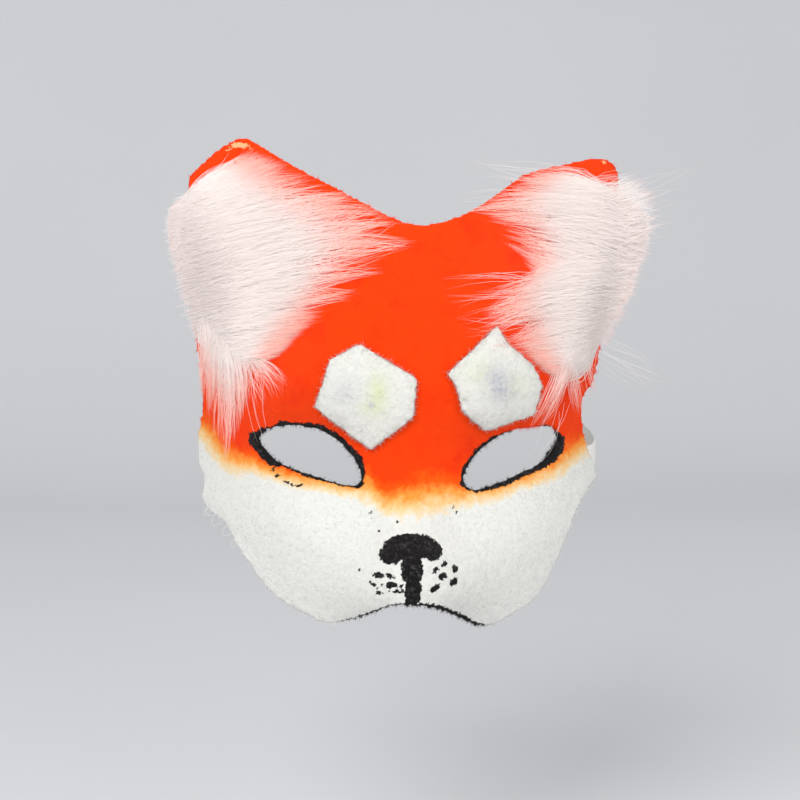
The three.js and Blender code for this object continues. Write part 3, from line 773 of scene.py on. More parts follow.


# Ear pile
# Long white pile on a knitted backing, glued into each ear. It is combed inwards from the edge
# over the forehead, and a thin tuft hangs down beside each eye hole. Thin ends over the orange
# are painted pink, as painted light for the orange that shows through them, and the pile has
# painted shade at its outer edge and underneath.
DEPTH_AREA = {"left": 140, "right": 740, "top": 120, "bottom": 520}
DEPTH_STEP = 2
DEPTH_ROUNDS = 8
DEPTH_KEPT = 0.4
SIGHT_LIMIT = 0.66
WOOL_HEIGHT = 0.62
WOOL_WIDE = 50
WOOL_LONG = 30
WOOL_MARGIN = 0.15
WOOL_STARTS = 0.10
WOOL_STREAKS = 0.30
WOOL_FOOT = 0.15 * MM
WOOL_SHADE = 0.3
PILE_SEEDS = {"left": 3, "right": 5}
PILE_TAPER = np.array([0.8, 1.0, 0.9, 0.6, 0.0])
PILE_LENGTHS = (0.6, 1.15)
LOCK_SWAY = 1.6
STRAND_SWAY = 0.9
START_SPREAD = 0.022
ROOT_SPREAD = 0.50
TIP_SPREAD = 0.07
ASTRAY_SHARE = 0.25
ASTRAY = 4.0
TALLEST_STRAY = 4.0
ROOT_HEIGHT = 0.4
PINK_ENDS = 0.88
PINK_SHARES = (0.3, 1.0)
EDGE_SHADE = 0.75
EDGE_REACH = 0.34
STRAND_TONE = 0.6
OWN_LIGHT = 0.5
FORM_LIGHT = 0.75

# The strands of a sweep follow its flows, each of which runs from one mark to another. lock is
# how many strands cling together. length and lift are in millimetres, bow is measured like the
# marks, and the other columns are shares or factors.
FLOW = "from_across from_down to_across to_down lift bow"
SWEEP = "part strands length starts bias lock fine backed pink_from loose flows"
PILES = {
    "left": table(SWEEP, [
        ("ear", 7000, 33, 1.0, 4.0, 14, 1.0, 0.50, 0.52, 1.3, table(FLOW, [
            (182, 198, 266, 157, 1.5, 0), (172, 209, 297, 170, 5, 2), (171, 228, 332, 187, 8, 5),
            (175, 248, 368, 203, 11, 7), (181, 266, 396, 217, 13, 8), (186, 284, 404, 237, 13, 8),
            (191, 300, 392, 259, 13, 7), (195, 315, 364, 284, 12, 5), (198, 329, 330, 308, 11, 2),
            (202, 341, 304, 330, 9, 0), (208, 351, 284, 349, 6, -2),
        ])),
        ("tuft", 400, 29, 0.6, 1.6, 8, 0.85, 0.0, 0.26, 1.8, table(FLOW, [
            (230, 334, 243, 412, 7, 4), (224, 326, 236, 440, 9, 6), (218, 318, 226, 468, 10, 6),
            (213, 312, 219, 446, 10, 4), (208, 308, 211, 418, 9, 3), (204, 304, 204, 396, 7, 0),
        ])),
        ("fan beside the tuft", 46, 18, 0.3, 1.0, 3, 0.8, 0.0, 0.10, 1.6, table(FLOW, [
            (244, 354, 292, 390, 4, 4), (242, 352, 276, 398, 4, 4), (240, 350, 262, 408, 4, 3),
        ])),
        ("strands at the eye", 4, 34, 0.1, 1.0, 1, 0.5, 0.0, 0.90, 1.5, table(FLOW, [
            (250, 370, 268, 460, 3, -3), (258, 372, 276, 448, 3, -4),
        ])),
        ("outer edge", 260, 11, 0.6, 1.0, 2, 0.7, 0.0, 0.90, 1.0, table(FLOW, [
            (192, 207, 170, 210, 3, 0), (190, 230, 169, 244, 4, 0), (196, 250, 175, 270, 4, 0),
            (204, 282, 183, 306, 4, 0), (212, 312, 193, 346, 4, 0),
        ])),
    ]),
    "right": table(SWEEP, [
        ("upper ear", 3600, 29, 1.0, 4.5, 12, 1.0, 0.54, 0.52, 2.6, table(FLOW, [
            (618, 196, 524, 178, 2, -2), (634, 205, 500, 190, 6, -6), (645, 216, 474, 207, 9, -11),
            (645, 236, 480, 213, 12, -9), (640, 256, 492, 222, 13, -4), (632, 273, 506, 237, 13, 2),
            (624, 287, 521, 254, 12, 5), (614, 295, 536, 269, 11, 5),
        ])),
        ("lower ear", 3200, 28, 1.0, 5.0, 12, 1.0, 0.54, 0.50, 2.6, table(FLOW, [
            (634, 264, 494, 286, 13, -6), (630, 281, 486, 301, 13, -8), (624, 297, 486, 320, 13, -8),
            (616, 312, 500, 335, 12, -3), (607, 326, 516, 347, 11, 3), (601, 338, 532, 359, 9, 6),
            (597, 348, 546, 372, 6, 5),
        ])),
        ("tuft", 62, 25, 0.6, 1.4, 5, 0.8, 0.0, 0.15, 2.0, table(FLOW, [
            (570, 334, 524, 444, 8, 6), (576, 338, 538, 424, 8, 5), (580, 342, 550, 396, 7, 3),
        ])),
        ("second tuft", 40, 22, 0.4, 1.4, 6, 0.8, 0.0, 0.20, 1.4, table(FLOW, [
            (572, 346, 576, 412, 6, -3), (578, 346, 585, 416, 6, -3), (586, 348, 594, 388, 5, -2),
        ])),
        ("strands at the eye", 5, 26, 0.2, 1.0, 1, 0.5, 0.0, 0.90, 1.5, table(FLOW, [
            (556, 396, 519, 466, 3, 2), (566, 396, 540, 466, 3, 5),
        ])),
        ("outer edge", 620, 17, 0.5, 1.3, 2, 0.7, 0.0, 0.90, 1.6, table(FLOW, [
            (584, 194, 640, 178, 6, 0), (596, 208, 656, 190, 10, 0), (600, 228, 661, 212, 12, 0),
            (598, 250, 655, 240, 12, 0), (592, 272, 644, 272, 12, 0), (584, 296, 630, 306, 11, 0),
            (578, 316, 613, 338, 9, 0),
        ])),
        ("stray ends", 18, 40, 0.1, 1.0, 1, 0.42, 0.0, 0.90, 3.0, table(FLOW, [
            (600, 205, 706, 154, 8, 3), (604, 220, 692, 184, 8, 3), (606, 235, 676, 220, 8, 3),
        ])),
        ("stray ends below", 12, 36, 0.1, 1.0, 1, 0.38, 0.0, 0.90, 3.0, table(FLOW, [
            (590, 336, 652, 362, 6, -2), (588, 344, 684, 390, 5, -4), (586, 350, 640, 392, 4, -2),
        ])),
        ("stray ends over the top", 18, 38, 0.1, 1.0, 1, 0.40, 0.0, 0.80, 3.0, table(FLOW, [
            (570, 178, 462, 160, 5, 3), (556, 186, 464, 178, 4, 2), (538, 204, 450, 208, 4, 2),
        ])),
        ("stray ends over the brow", 46, 34, 0.12, 1.0, 1, 0.6, 0.0, 0.20, 2.5, table(FLOW, [
            (540, 282, 442, 287, 3, -2), (540, 296, 452, 308, 3, 2), (544, 312, 464, 338, 4, 6),
            (548, 330, 504, 350, 4, 6),
        ])),
    ]),
}

# The dense pile is low and thick, and the ends over it are longer, higher and finer
LAYERS = table("name share low high longer thin thick", [
    ("", 1.0, 0.35, 0.88, 1.0, 0.085, 0.125),
    ("_ends", 0.62, 0.45, 1.0, 1.25, 0.050, 0.085),
])


def sight_lines(marks):
    """Unit directions from the camera through marks."""
    across = (marks[:, :1] - PICTURE / 2) / picture_focal
    down = (marks[:, 1:] - PICTURE / 2) / picture_focal
    return unit(-camera_back + across * camera_right - down * camera_up)


# How far the felt and the brow patches lie from the camera, for marks on a grid
rest_trees = [shell_tree]
for node in ("brow_patch_left", "brow_patch_right"):
    patch_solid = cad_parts[node].data
    rest_trees.append(search_tree(patch_solid, patch_solid.polygons))
grid_across = np.arange(DEPTH_AREA["left"], DEPTH_AREA["right"] + 1, DEPTH_STEP)
grid_down = np.arange(DEPTH_AREA["top"], DEPTH_AREA["bottom"] + 1, DEPTH_STEP)
grid_marks = np.stack(np.meshgrid(grid_across, grid_down), -1).reshape(-1, 2).astype(float)
grid_depth = np.full(len(grid_marks), np.nan)
for number, line in enumerate(sight_lines(grid_marks)):
    for rest_tree in rest_trees:
        reach = rest_tree.ray_cast(Vector(camera_place), Vector(line))[3]
        if reach is not None and reach < SIGHT_LIMIT:
            grid_depth[number] = np.nanmin([grid_depth[number], reach])
grid_depth = grid_depth.reshape(len(grid_down), len(grid_across))


def neighbours(grid, **edge):
    """Each place's neighbours on a grid, to its right and left, below and above it."""
    wider = np.pad(grid, 1, **edge)
    return np.stack([wider[1:-1, 2:], wider[1:-1, :-2], wider[2:, 1:-1], wider[:-2, 1:-1]])


while np.isnan(grid_depth).any():
    around = neighbours(grid_depth, constant_values=np.nan)
    known = ~np.isnan(around)
    total = np.where(known, around, 0).sum(0) / np.maximum(known.sum(0), 1)
    grid_depth = np.where(np.isnan(grid_depth) & (known.sum(0) > 0), total, grid_depth)
for _ in range(DEPTH_ROUNDS):
    around = neighbours(grid_depth, mode="edge").sum(0)
    grid_depth = grid_depth * DEPTH_KEPT + around * (1 - DEPTH_KEPT) / 4


def lift_off(marks, height):
    """Points at a height over the felt, above marks."""
    right = np.clip((marks[:, 0] - grid_across[0]) / DEPTH_STEP, 0, len(grid_across) - 1.001)
    lower = np.clip((marks[:, 1] - grid_down[0]) / DEPTH_STEP, 0, len(grid_down) - 1.001)
    column = right.astype(int)
    row = lower.astype(int)
    right = right - column
    lower = lower - row
    depth = (
        grid_depth[row, column] * (1 - right) * (1 - lower)
        + grid_depth[row, column + 1] * right * (1 - lower)
        + grid_depth[row + 1, column] * (1 - right) * lower
        + grid_depth[row + 1, column + 1] * right * lower
    )
    return camera_place + sight_lines(marks) * (depth - height)[:, None]


def flow_at(rows, number, share):
    """The place, lift, length and side direction of the flow at a number between rows and a share."""
    first = np.clip(number, 0, len(rows) - 2).astype(int)
    mixed = rows[first] + (rows[first + 1] - rows[first]) * (number - first)[:, None]
    run = mixed[:, 2:4] - mixed[:, :2]
    length = np.linalg.norm(run, axis=1)
    side = np.stack([run[:, 1], -run[:, 0]], 1) / length[:, None]
    bow = (4 * share * (1 - share) * mixed[:, 5])[:, None]
    return mixed[:, :2] + run * share[:, None] + side * bow, np.maximum(mixed[:, 4], 0.5), length, side


def dome(share):
    """How full the pile is along a flow: rises fast at the root side and thins out to the tips."""
    rise = smooth_step(-0.15, 0.20, share)
    return rise * (1 - 0.95 * smooth_step(0.30, 0.95, share))


def combed(sweep, layer, chooser):
    """The lines of a sweep's strands, their thickness, their tone with painted shade, and the painted
    orange light on them.
    """
    rows = columns(sweep["flows"], FLOW)
    count = int(sweep["strands"] * layer["share"])
    locks = max(2, count // sweep["lock"])
    lock_row = chooser.uniform(-0.25, len(rows) - 0.75, locks)
    lock_start = chooser.uniform(0, 1, locks) ** sweep["bias"]
    lock_curve = chooser.normal(0, LOCK_SWAY * sweep["loose"], locks)
    lock = chooser.integers(0, locks, count)
    flow_length = flow_at(rows, lock_row, np.zeros(locks))[2][lock]
    length = sweep["length"] * layer["longer"] * PICTURE_SCALE * chooser.uniform(*PILE_LENGTHS, count)
    share_run = np.minimum(length / flow_length, 1.0)
    reach = np.minimum(sweep["starts"], 1.04 - share_run)
    start = lock_start[lock] * np.maximum(reach, 0.05) + chooser.normal(0.0, START_SPREAD, count)
    root_row = lock_row[lock] + chooser.normal(0, ROOT_SPREAD, count)
    astray = np.where(chooser.uniform(0, 1, count) < ASTRAY_SHARE, ASTRAY, 1.0)
    tip_row = lock_row[lock] + chooser.normal(0, TIP_SPREAD, count) * astray
    level = chooser.uniform(layer["low"], layer["high"], count)
    stand = chooser.uniform(0, 1, count) ** 6 * TALLEST_STRAY
    wave = chooser.normal(0, STRAND_SWAY * sweep["loose"], count)
    lines = np.empty((count, len(PILE_TAPER), 3))
    shares = np.empty((count, len(PILE_TAPER)))
    for station, along in enumerate(np.linspace(0, 1, len(PILE_TAPER))):
        share = start + share_run * along
        row = root_row + (tip_row - root_row) * along
        mark, lift, _, side = flow_at(rows, row, share)
        swing = lock_curve[lock] * math.sin(along * 2.4) + wave * math.sin(along * math.pi)
        mark = mark + side * swing[:, None]
        rise = smooth_step(0.0, 0.45, along)
        height = (ROOT_HEIGHT + level * lift * dome(share) * rise + stand * along ** 2) * MM
        lines[:, station] = lift_off(mark, height)
        shares[:, station] = share
    radius = chooser.uniform(layer["thin"], layer["thick"], (count, 1))
    thickness = PILE_TAPER * MM * sweep["fine"] * radius
    # Painted light: the ends turn pink towards their tips, for the orange felt's light that shows
    # through the thin hair.
    pink_to = max(PINK_ENDS, sweep["pink_from"] + 0.05)
    orange_light = smooth_step(sweep["pink_from"], pink_to, shares)
    orange_light = orange_light * chooser.uniform(*PINK_SHARES, (count, 1))
    # Painted shade: the ear sweeps' pile is darker near the outer edge, where its strands start; each
    # strand also has a random tone.
    edge_shade = EDGE_SHADE * (1 - smooth_step(0.0, EDGE_REACH, shares)) * (sweep["backed"] > 0)
    tone_and_shade = np.clip(edge_shade + chooser.uniform(0, 1, (count, 1)) ** 2.5 * STRAND_TONE, 0, 1)
    return lines, thickness, tone_and_shade, orange_light


def at_corners(values):
    """One value at each station of each strand, given to the station's corners and to the tip."""
    return np.concatenate([np.repeat(values[:, :-1], 3, axis=1), values[:, -1:]], 1).ravel()


def turned_out(corners, faces):
    """The faces of a closed form of quads, all turned the other way where they face inwards."""
    quads = np.concatenate(faces)
    first, second, third, fourth = (corners[quads[:, place]] for place in range(4))
    volume = (first * np.cross(second, third)).sum() + (first * np.cross(third, fourth)).sum()
    return faces if volume > 0 else [part[:, ::-1] for part in faces]


def under_wool(sweep):
    """The dense wool under the long ends, as one closed low form along the flows."""
    rows = columns(sweep["flows"], FLOW)
    last = len(rows) - 1
    numbers = np.linspace(WOOL_MARGIN, last - WOOL_MARGIN, WOOL_WIDE)
    number, share = np.meshgrid(numbers, np.linspace(WOOL_STARTS, sweep["backed"], WOOL_LONG))
    number = number.ravel()
    share = share.ravel()
    mark, lift, _, _ = flow_at(rows, number, share)
    edge = smooth_step(0, 0.8, np.minimum(number, last - number))
    end = 1 - smooth_step(sweep["backed"] * 0.6, sweep["backed"], share)
    streaks = np.array([
        noise.noise(Vector((place * 5.0, run * 4.0, 0.0))) for place, run in zip(number, share)
    ])
    rise = smooth_step(0.06, 0.36, share) * (1 + WOOL_STREAKS * streaks)
    height = (0.3 + WOOL_HEIGHT * lift * dome(share) * edge * end * rise) * MM
    top = lift_off(mark, height)
    low = lift_off(mark, np.full(len(mark), WOOL_FOOT))
    size = len(top)
    index = np.arange(size).reshape(WOOL_LONG, WOOL_WIDE)
    upper = np.stack([index[:-1, :-1], index[1:, :-1], index[1:, 1:], index[:-1, 1:]], -1)
    upper = upper.reshape(-1, 4)
    lower = upper[:, ::-1] + size
    ring = np.concatenate([index[0, :-1], index[:-1, -1], index[-1, :0:-1], index[:0:-1, 0]])
    following = np.roll(ring, -1)
    wall = np.stack([ring, following, following + size, ring + size], 1)
    corners = np.concatenate([top, low])
    return corners, turned_out(corners, [upper, lower, wall])


def shared_light(mesh):
    """The pile scatters light as one soft mass, so its strands share the light of the whole form."""
    corner_of = read(mesh.loops, "vertex_index", kind=np.int32)[:, 0]
    sizes = read(mesh.polygons, "loop_total", kind=np.int32)[:, 0]
    towards = np.clip(read(mesh.polygons, "normal", 3) @ camera_back * 4, -1, 1)
    towards = np.repeat(towards, sizes)[:, None]
    facing = normals(mesh)[corner_of] * OWN_LIGHT + towards * camera_back * FORM_LIGHT
    mesh.normals_split_custom_set(unit(facing).tolist())


PILE_WHITE = (0.855, 0.775, 0.742, 1.0)
PILE_SHADE = (0.70, 0.615, 0.595, 1.0)
PILE_PINK_LIGHT = (0.95, 0.30, 0.19, 1.0)
PILE_LETS_THROUGH = 0.74

pile_paint, tree, shader = new_paint("long white pile", {
    "Roughness": 0.6, "Specular IOR Level": 0.3, "Sheen Weight": 0.5, "Sheen Roughness": 0.6,
})
# The pile's own white, with random tone, painted shade and painted pink light over it.
pile_colour_and_light = blend_colours(tree, attribute(tree, "tone_and_shade"), PILE_WHITE, PILE_SHADE)
pile_colour_and_light = blend_colours(tree, attribute(tree, "orange_light"), pile_colour_and_light, PILE_PINK_LIGHT)
tree.links.new(pile_colour_and_light, shader.inputs["Base Color"])

# Fine hair lets most of the light through to the hair behind it, so its shade is soft
light_through = add(tree, "ShaderNodeBsdfTransparent", {"Color": (*[PILE_LETS_THROUGH] * 3, 1.0)})
lit = add(tree, "ShaderNodeMixShader", {
    0: add(tree, "ShaderNodeLightPath").outputs["Is Shadow Ray"],
    1: shader.outputs["BSDF"],
    2: light_through.outputs["BSDF"],
})
tree.links.new(lit.outputs["Shader"], tree.nodes["Material Output"].inputs["Surface"])

for side, seed in PILE_SEEDS.items():
    for layer in LAYERS:
        chooser = np.random.default_rng(seed + len(layer["name"]))
        parts = []
        tones_and_shades = []
        orange_lights = []
        for sweep in PILES[side]:
            if layer["name"] and sweep["lock"] == 1:
                continue
            lines, thickness, tone_and_shade, orange_light = combed(sweep, layer, chooser)
            corners, faces, _ = strands(lines, thickness)
            parts.append((corners, faces))
            tones_and_shades.append(at_corners(tone_and_shade))
            orange_lights.append(at_corners(orange_light))
            if sweep["backed"] and not layer["name"]:
                corners, faces = under_wool(sweep)
                parts.append((corners, faces))
                # Painted shade: the wool under the long ends is darker.
                tones_and_shades.append(np.full(len(corners), WOOL_SHADE))
                orange_lights.append(np.zeros(len(corners)))
        pile_mesh = mesh_of(f"ear_pile_{side}{layer['name']}", *joined(parts))
        store(pile_mesh, "tone_and_shade", np.concatenate(tones_and_shades))
        store(pile_mesh, "orange_light", np.concatenate(orange_lights))
        stood_for = [] if layer["name"] else [f"ear_fur_{side}"]
        piece(pile_mesh.name, pile_mesh, pile_paint, stood_for)
        shared_light(pile_mesh)


# Brow patches
# Two pieces cut by hand from thick white felt and glued over the brows. Their cut edges are ragged,
# and colour from the craft table has stained their middles.
PATCH_VOXEL = 0.6 * MM
PATCH_SPACING = 0.5 * MM
PATCH_ROUNDS = 6
PATCH_EDGE = 1.6 * MM
PATCH_LUMPS = table("size height", [(2.6, 0.35), (1.1, 0.22)])
PATCH_CALM = 0.35
PATCH_PUFF = 0.35
PUFF_REACH = 5 * MM
PUFF_FACING = -0.3
PATCH_FUZZ = 1500
FUZZ_SEED = 21
FUZZ_LENGTHS = (0.5, 1.7)
FUZZ_INSIDE = 0.05
PATCH_STAINS = {
    "left": {
        "green": table(SPOT, [
            (378, 392, 10, 18, 0.9),
            (370, 408, 12, 7, 0.5),
        ]),
        "violet": table(SPOT, [
            (345, 392, 12, 14, 0.5),
            (371, 405, 4, 4, 0.9),
        ]),
    },
    "right": {
        "green": table(SPOT, [
            (480, 372, 16, 14, 0.45),
            (512, 385, 14, 12, 0.35),
        ]),
        "violet": table(SPOT, [
            (496, 376, 13, 12, 0.8),
            (502, 391, 13, 12, 0.9),
        ]),
    },
}
PATCH_WHITE = (0.74, 0.732, 0.685, 1.0)
PATCH_SHADE = (0.56, 0.56, 0.53, 1.0)
STAIN_GREEN = (0.60, 0.66, 0.36, 1.0)
STAIN_VIOLET = (0.42, 0.42, 0.49, 1.0)

patch_paint, tree, shader = new_paint(
    "thick white felt", {"Roughness": 0.95, "Specular IOR Level": 0.1, "Sheen Weight": 0.05}
)
nap = use_group(tree, felt_nap, {"Lump Size": 1.8, "Fibre Size": 0.40})
speckle = cloudy(tree, 700.0, detail=4.0, roughness=0.7)
# Painted shade: the patches' white felt is darker in the pits of its nap.
patch_pit_shade = remap(tree, nap.outputs["Shade"], 1.0, 0.0, 0.0, 0.5)
base = blend_colours(tree, patch_pit_shade, PATCH_WHITE, PATCH_SHADE)
green_grain = remap(tree, speckle, 0.3, 0.65, 0.35, 1.0)
green = sums(tree, "MULTIPLY", attribute(tree, "green"), green_grain, True)
base = blend_colours(tree, green, base, STAIN_GREEN)
violet_grain = remap(tree, speckle, 0.7, 0.4, 0.10, 0.9)
violet = sums(tree, "MULTIPLY", attribute(tree, "violet"), violet_grain, True)
base = blend_colours(tree, violet, base, STAIN_VIOLET)
tree.links.new(base, shader.inputs["Base Color"])
bumpy(tree, shader, nap.outputs["Height"], strength=0.8, distance=1.0 * MM)

for side in ("left", "right"):
    blank = welded_copy(f"brow_patch_{side}")
    edge_points = sharp_line_points(blank, PATCH_SPACING)
    patch_mesh = remeshed(blank, PATCH_VOXEL)
    patch_places = places(patch_mesh)
    everywhere = np.full(len(patch_places), EVEN_PULL)
    patch_places = relaxed(patch_mesh, patch_places, PATCH_ROUNDS, everywhere)
    set_places(patch_mesh, patch_places)
    patch_normals = normals(patch_mesh)
    edge_distance = distances(patch_places, edge_points)
    near_edge = np.exp(-(edge_distance / PATCH_EDGE) ** 2)
    swell = lumpy(patch_places, PATCH_LUMPS) * (PATCH_CALM + (1 - PATCH_CALM) * near_edge)
    puff = PATCH_PUFF * smooth_step(PATCH_SPACING, PUFF_REACH, edge_distance)
    puff *= patch_normals[:, 1] < PUFF_FACING
    patch_places += patch_normals * ((swell + puff) * MM)[:, None]
    set_places(patch_mesh, patch_places)
    patch_marks = seen_at(patch_places)

    chooser = np.random.default_rng(FUZZ_SEED)
    chance = near_edge + FUZZ_INSIDE
    roots = chooser.choice(len(patch_places), PATCH_FUZZ, p=chance / chance.sum())
    run, curl = leaning(chooser, patch_normals[roots], spread=0.5, curling=0.4)
    length = chooser.uniform(*FUZZ_LENGTHS, PATCH_FUZZ) * MM
    corners, faces, numbers = short_fibres(chooser, patch_places[roots], run, curl, length)
    fuzz_mesh = mesh_of(f"brow_fuzz_{side}", corners, faces)
    for stain, spots in PATCH_STAINS[side].items():
        depth = soft_spots(patch_marks, spots)
        store(patch_mesh, stain, depth)
        store(fuzz_mesh, stain, depth[roots][numbers])
    felt = piece(f"brow_felt_{side}", patch_mesh, patch_paint, [f"brow_patch_{side}"])
    fuzz = piece(f"brow_fuzz_{side}", fuzz_mesh, patch_paint)


# Elastic band
# A flat white elastic, woven with ribs along it, 10 mm wide. It is glued inside both cheeks, level
# with the eye holes, and runs round behind in one wide loop.
BAND_WIDTH = 10 * MM
BAND_THICKNESS = 1.2 * MM
BAND_RIBS = 9
RIB_DEPTH = 0.20
BAND_SQUARENESS = 14
BAND_EDGE = 0.12
BAND_POINTS = 28
BAND_STEP = 2.0 * MM
BAND_ROUNDS = 4
BAND_TAB = 9 * MM
BAND_TAB_POINTS = 7
BAND_SPAN_POINTS = 24
BAND_GAP = 0.5 * MM
FAR_BEHIND = 0.2
HALF_FACE = 82 * MM
RIM_SHARE = 0.95
BAND_REACH = 185 * MM
BAND_RISE = 14 * MM
BAND_ROUTE = table("across back rise", [
    (0.995, 0.32, 0.10),
    (1.000, 0.45, 0.30),
    (0.930, 0.66, 0.60),
    (0.700, 0.85, 0.85),
    (0.370, 0.97, 0.97),
    (0.000, 1.00, 1.00),
])
WEFT_RATE = 5.2
WARP_RATE = 11.3
BAND_DARK = (0.66, 0.65, 0.61, 1.0)
BAND_LIGHT = (0.86, 0.85, 0.82, 1.0)


def behind_wall(x):
    """A point on the inside of the cheek, at a distance from the middle."""
    hit = shell_tree.ray_cast(Vector((x, FAR_BEHIND, 0.0)), Vector((0, -1, 0)))[0]
    return np.array([x, hit.y + BAND_GAP + BAND_THICKNESS / 2, 0.0])


def between(first, second, low, high, place):
    return first * (high - place) / (high - low) + second * (place - low) / (high - low)


def rounded_route(points):
    """A smooth curve through points, with even turns where they lie unevenly."""
    points = np.concatenate([[2 * points[0] - points[1]], points, [2 * points[-1] - points[-2]]])
    result = []
    for span in range(len(points) - 3):
        corners = points[span:span + 4]
        steps = [np.linalg.norm(end - start) ** 0.5 for start, end in zip(corners, corners[1:])]
        knots = np.cumsum([0.0] + steps)
        for place in np.linspace(knots[1], knots[2], BAND_SPAN_POINTS, endpoint=False):
            near, middle, far = (
                between(corners[side], corners[side + 1], knots[side], knots[side + 1], place)
                for side in range(3)
            )
            near = between(near, middle, knots[0], knots[2], place)
            far = between(middle, far, knots[1], knots[3], place)
            result.append(between(near, far, knots[1], knots[2], place))
    return np.array(result + [points[-2]])


rim_x = RIM_SHARE * HALF_FACE
tab_line = np.array([behind_wall(x) for x in np.linspace(rim_x - BAND_TAB, rim_x, BAND_TAB_POINTS)])
route = columns(BAND_ROUTE, "across back rise") * [HALF_FACE, BAND_REACH, BAND_RISE]
half_line = np.concatenate([tab_line[:-1], rounded_route(np.concatenate([tab_line[-1:], route]))])
whole_line = np.concatenate([half_line, half_line[-2::-1] * [-1.0, 1.0, 1.0]])
run_length = np.concatenate([[0], np.cumsum(np.linalg.norm(np.diff(whole_line, axis=0), axis=1))])
stations = np.linspace(0, run_length[-1], int(run_length[-1] / BAND_STEP))
band_line = np.stack([np.interp(stations, run_length, whole_line[:, axis]) for axis in range(3)], 1)
for _ in range(BAND_ROUNDS):
    band_line[1:-1] = band_line[1:-1] * 0.5 + (band_line[:-2] + band_line[2:]) * 0.25
tangent = np.gradient(band_line, axis=0)
outward = unit(np.stack([tangent[:, 1], -tangent[:, 0], np.zeros(len(tangent))], 1))

across = np.linspace(-1, 1, BAND_POINTS)
rib = 0.5 - 0.5 * np.cos((across + 1) / 2 * BAND_RIBS * 2 * np.pi)
edge_round = np.sqrt(np.clip(1 - np.abs(across) ** BAND_SQUARENESS, 0, 1))
half_thick = BAND_THICKNESS / 2 * (1 - RIB_DEPTH + RIB_DEPTH * rib)
half_thick *= np.maximum(edge_round, BAND_EDGE)
section_across = np.concatenate([across, across[::-1]]) * BAND_WIDTH / 2
section_out = np.concatenate([half_thick, -half_thick[::-1]])
band_corners = (
    band_line[:, None]
    + section_across[None, :, None] * np.array([0.0, 0.0, 1.0])
    + section_out[None, :, None] * outward[:, None]
).reshape(-1, 3)
around = len(section_across)
index = np.arange(len(stations) * around).reshape(len(stations), around)
following = np.roll(index, -1, axis=1)
band_quads = np.stack([index[:-1], following[:-1], following[1:], index[1:]], -1).reshape(-1, 4)


def closed_end(ring):
    """The squares that close the band at one end."""
    outer = ring[:BAND_POINTS]
    inner = ring[::-1][:BAND_POINTS]
    return np.stack([outer[:-1], outer[1:], inner[1:], inner[:-1]], 1)


band_ends = np.concatenate([closed_end(index[0])[:, ::-1], closed_end(index[-1])])
band_mesh = mesh_of("elastic_band", band_corners, turned_out(band_corners, [band_quads, band_ends]))
store(band_mesh, "along", np.repeat(stations / MM, around))
store(band_mesh, "across", np.tile(section_across / MM, len(stations)))

band_paint, tree, shader = new_paint("woven elastic", {"Roughness": 0.8})
weft = sums(tree, "SINE", sums(tree, "MULTIPLY", attribute(tree, "along"), WEFT_RATE))
warp = sums(tree, "SINE", sums(tree, "MULTIPLY", attribute(tree, "across"), WARP_RATE))
weave = remap(tree, sums(tree, "MULTIPLY", weft, warp), -1.0, 1.0)
band_tone = blend_colours(tree, weave, BAND_DARK, BAND_LIGHT)
tree.links.new(band_tone, shader.inputs["Base Color"])
bumpy(tree, shader, weave, strength=0.6, distance=0.25 * MM)
piece("elastic_band", band_mesh, band_paint, ["head_strap"])


# Studio
# A pale sweep of paper: a floor that turns up into a wall far behind. One large soft light from
# the upper left, a weaker one from the right, and even light from all round.
FLOOR_DROP = 0.12
SWEEP_RADIUS = 0.8
SWEEP_TURNS = 12
WALL_BACK = 1.9
WALL_HEIGHT = 3.2
SWEEP_REACH = 12.0
PAPER_DARK = (0.61, 0.615, 0.63, 1.0)
PAPER_LIGHT = (0.64, 0.645, 0.66, 1.0)
ROOM_COLOUR = (0.98, 0.985, 1.0, 1.0)
ROOM_STRENGTH = 0.68
LIT_PLACE = (0.0, 0.03, 0.03)
SENSOR = 36.0
NEAREST_SEEN = 0.01
SOFT_LIGHTS = table("name across back up size power", [
    ("key", -0.9, -1.5, 1.3, 1.2, 37.0),
    ("fill", 1.3, -1.3, 0.5, 1.4, 14.0),
])

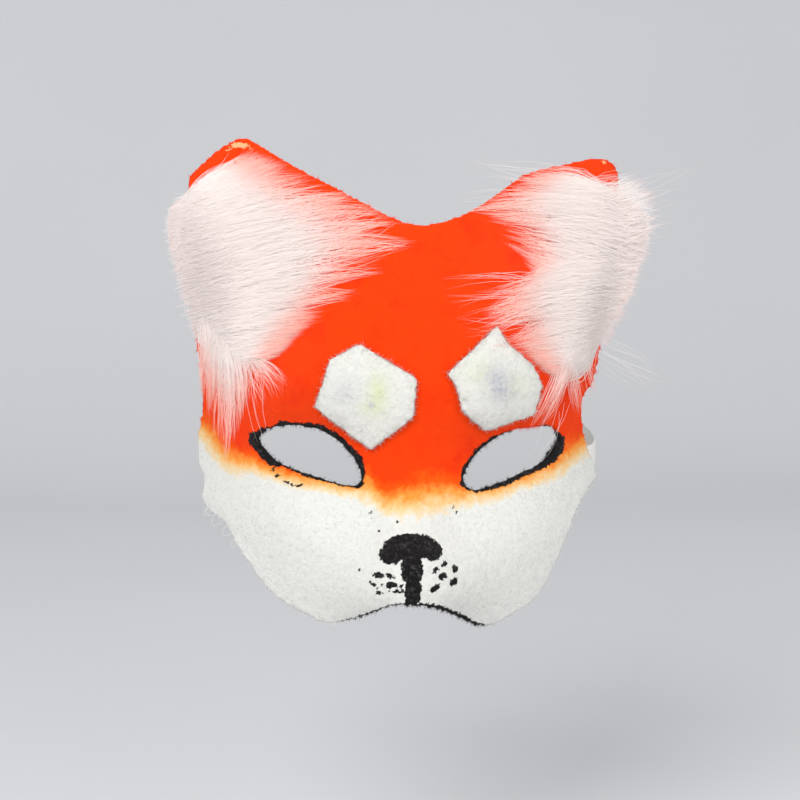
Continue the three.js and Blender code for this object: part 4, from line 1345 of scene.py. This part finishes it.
scene = bpy.context.scene
scene.view_settings.view_transform = "Standard"
floor_height = cad_low.z - FLOOR_DROP
profile = [(-SWEEP_REACH, floor_height), (WALL_BACK - SWEEP_RADIUS, floor_height)]
for step in range(1, SWEEP_TURNS + 1):
    turn = math.radians(90 * step / SWEEP_TURNS)
    profile.append((
        WALL_BACK - SWEEP_RADIUS + math.sin(turn) * SWEEP_RADIUS,
        floor_height + (1 - math.cos(turn)) * SWEEP_RADIUS,
    ))
profile.append((WALL_BACK, floor_height + WALL_HEIGHT))
sweep_corners = np.array([[x, y, z] for y, z in profile for x in (-SWEEP_REACH, SWEEP_REACH)])
rows = np.arange(len(profile) - 1)[:, None] * 2
sweep_faces = np.concatenate([rows, rows + 1, rows + 3, rows + 2], 1)
sweep_mesh = mesh_of("paper_sweep", sweep_corners, [sweep_faces])
sweep_mesh.polygons.foreach_set("use_smooth", np.ones(len(sweep_mesh.polygons), bool))
paper, tree, shader = new_paint("pale paper", {"Roughness": 1.0, "Specular IOR Level": 0.0})
paper_tone = blend_colours(tree, cloudy(tree, 3.0, detail=2.0), PAPER_DARK, PAPER_LIGHT)
tree.links.new(paper_tone, shader.inputs["Base Color"])
sweep_mesh.materials.append(paper)
paper_sweep = bpy.data.objects.new("paper_sweep", sweep_mesh)
scene.collection.objects.link(paper_sweep)

world = bpy.data.worlds.new("soft room")
world.use_nodes = True
world.node_tree.nodes["Background"].inputs["Color"].default_value = ROOM_COLOUR
world.node_tree.nodes["Background"].inputs["Strength"].default_value = ROOM_STRENGTH
scene.world = world


def placed(name, data, place, target):
    """Puts a lamp or camera in its place, turned towards a target."""
    made = bpy.data.objects.new(name, data)
    made.location = Vector(place)
    made.rotation_euler = (Vector(target) - made.location).to_track_quat("-Z", "Y").to_euler()
    scene.collection.objects.link(made)
    return made


for row in SOFT_LIGHTS:
    lamp = bpy.data.lights.new(row["name"], "AREA")
    lamp.size = row["size"]
    lamp.energy = row["power"]
    light = placed(row["name"], lamp, (row["across"], row["back"], row["up"]), LIT_PLACE)
    light.visible_camera = False

camera_data = bpy.data.cameras.new("camera")
camera_data.sensor_width = SENSOR
camera_data.lens = picture_focal / PICTURE * SENSOR
camera_data.clip_start = NEAREST_SEEN
scene.camera = placed("camera", camera_data, camera_place, CAMERA_TARGET)
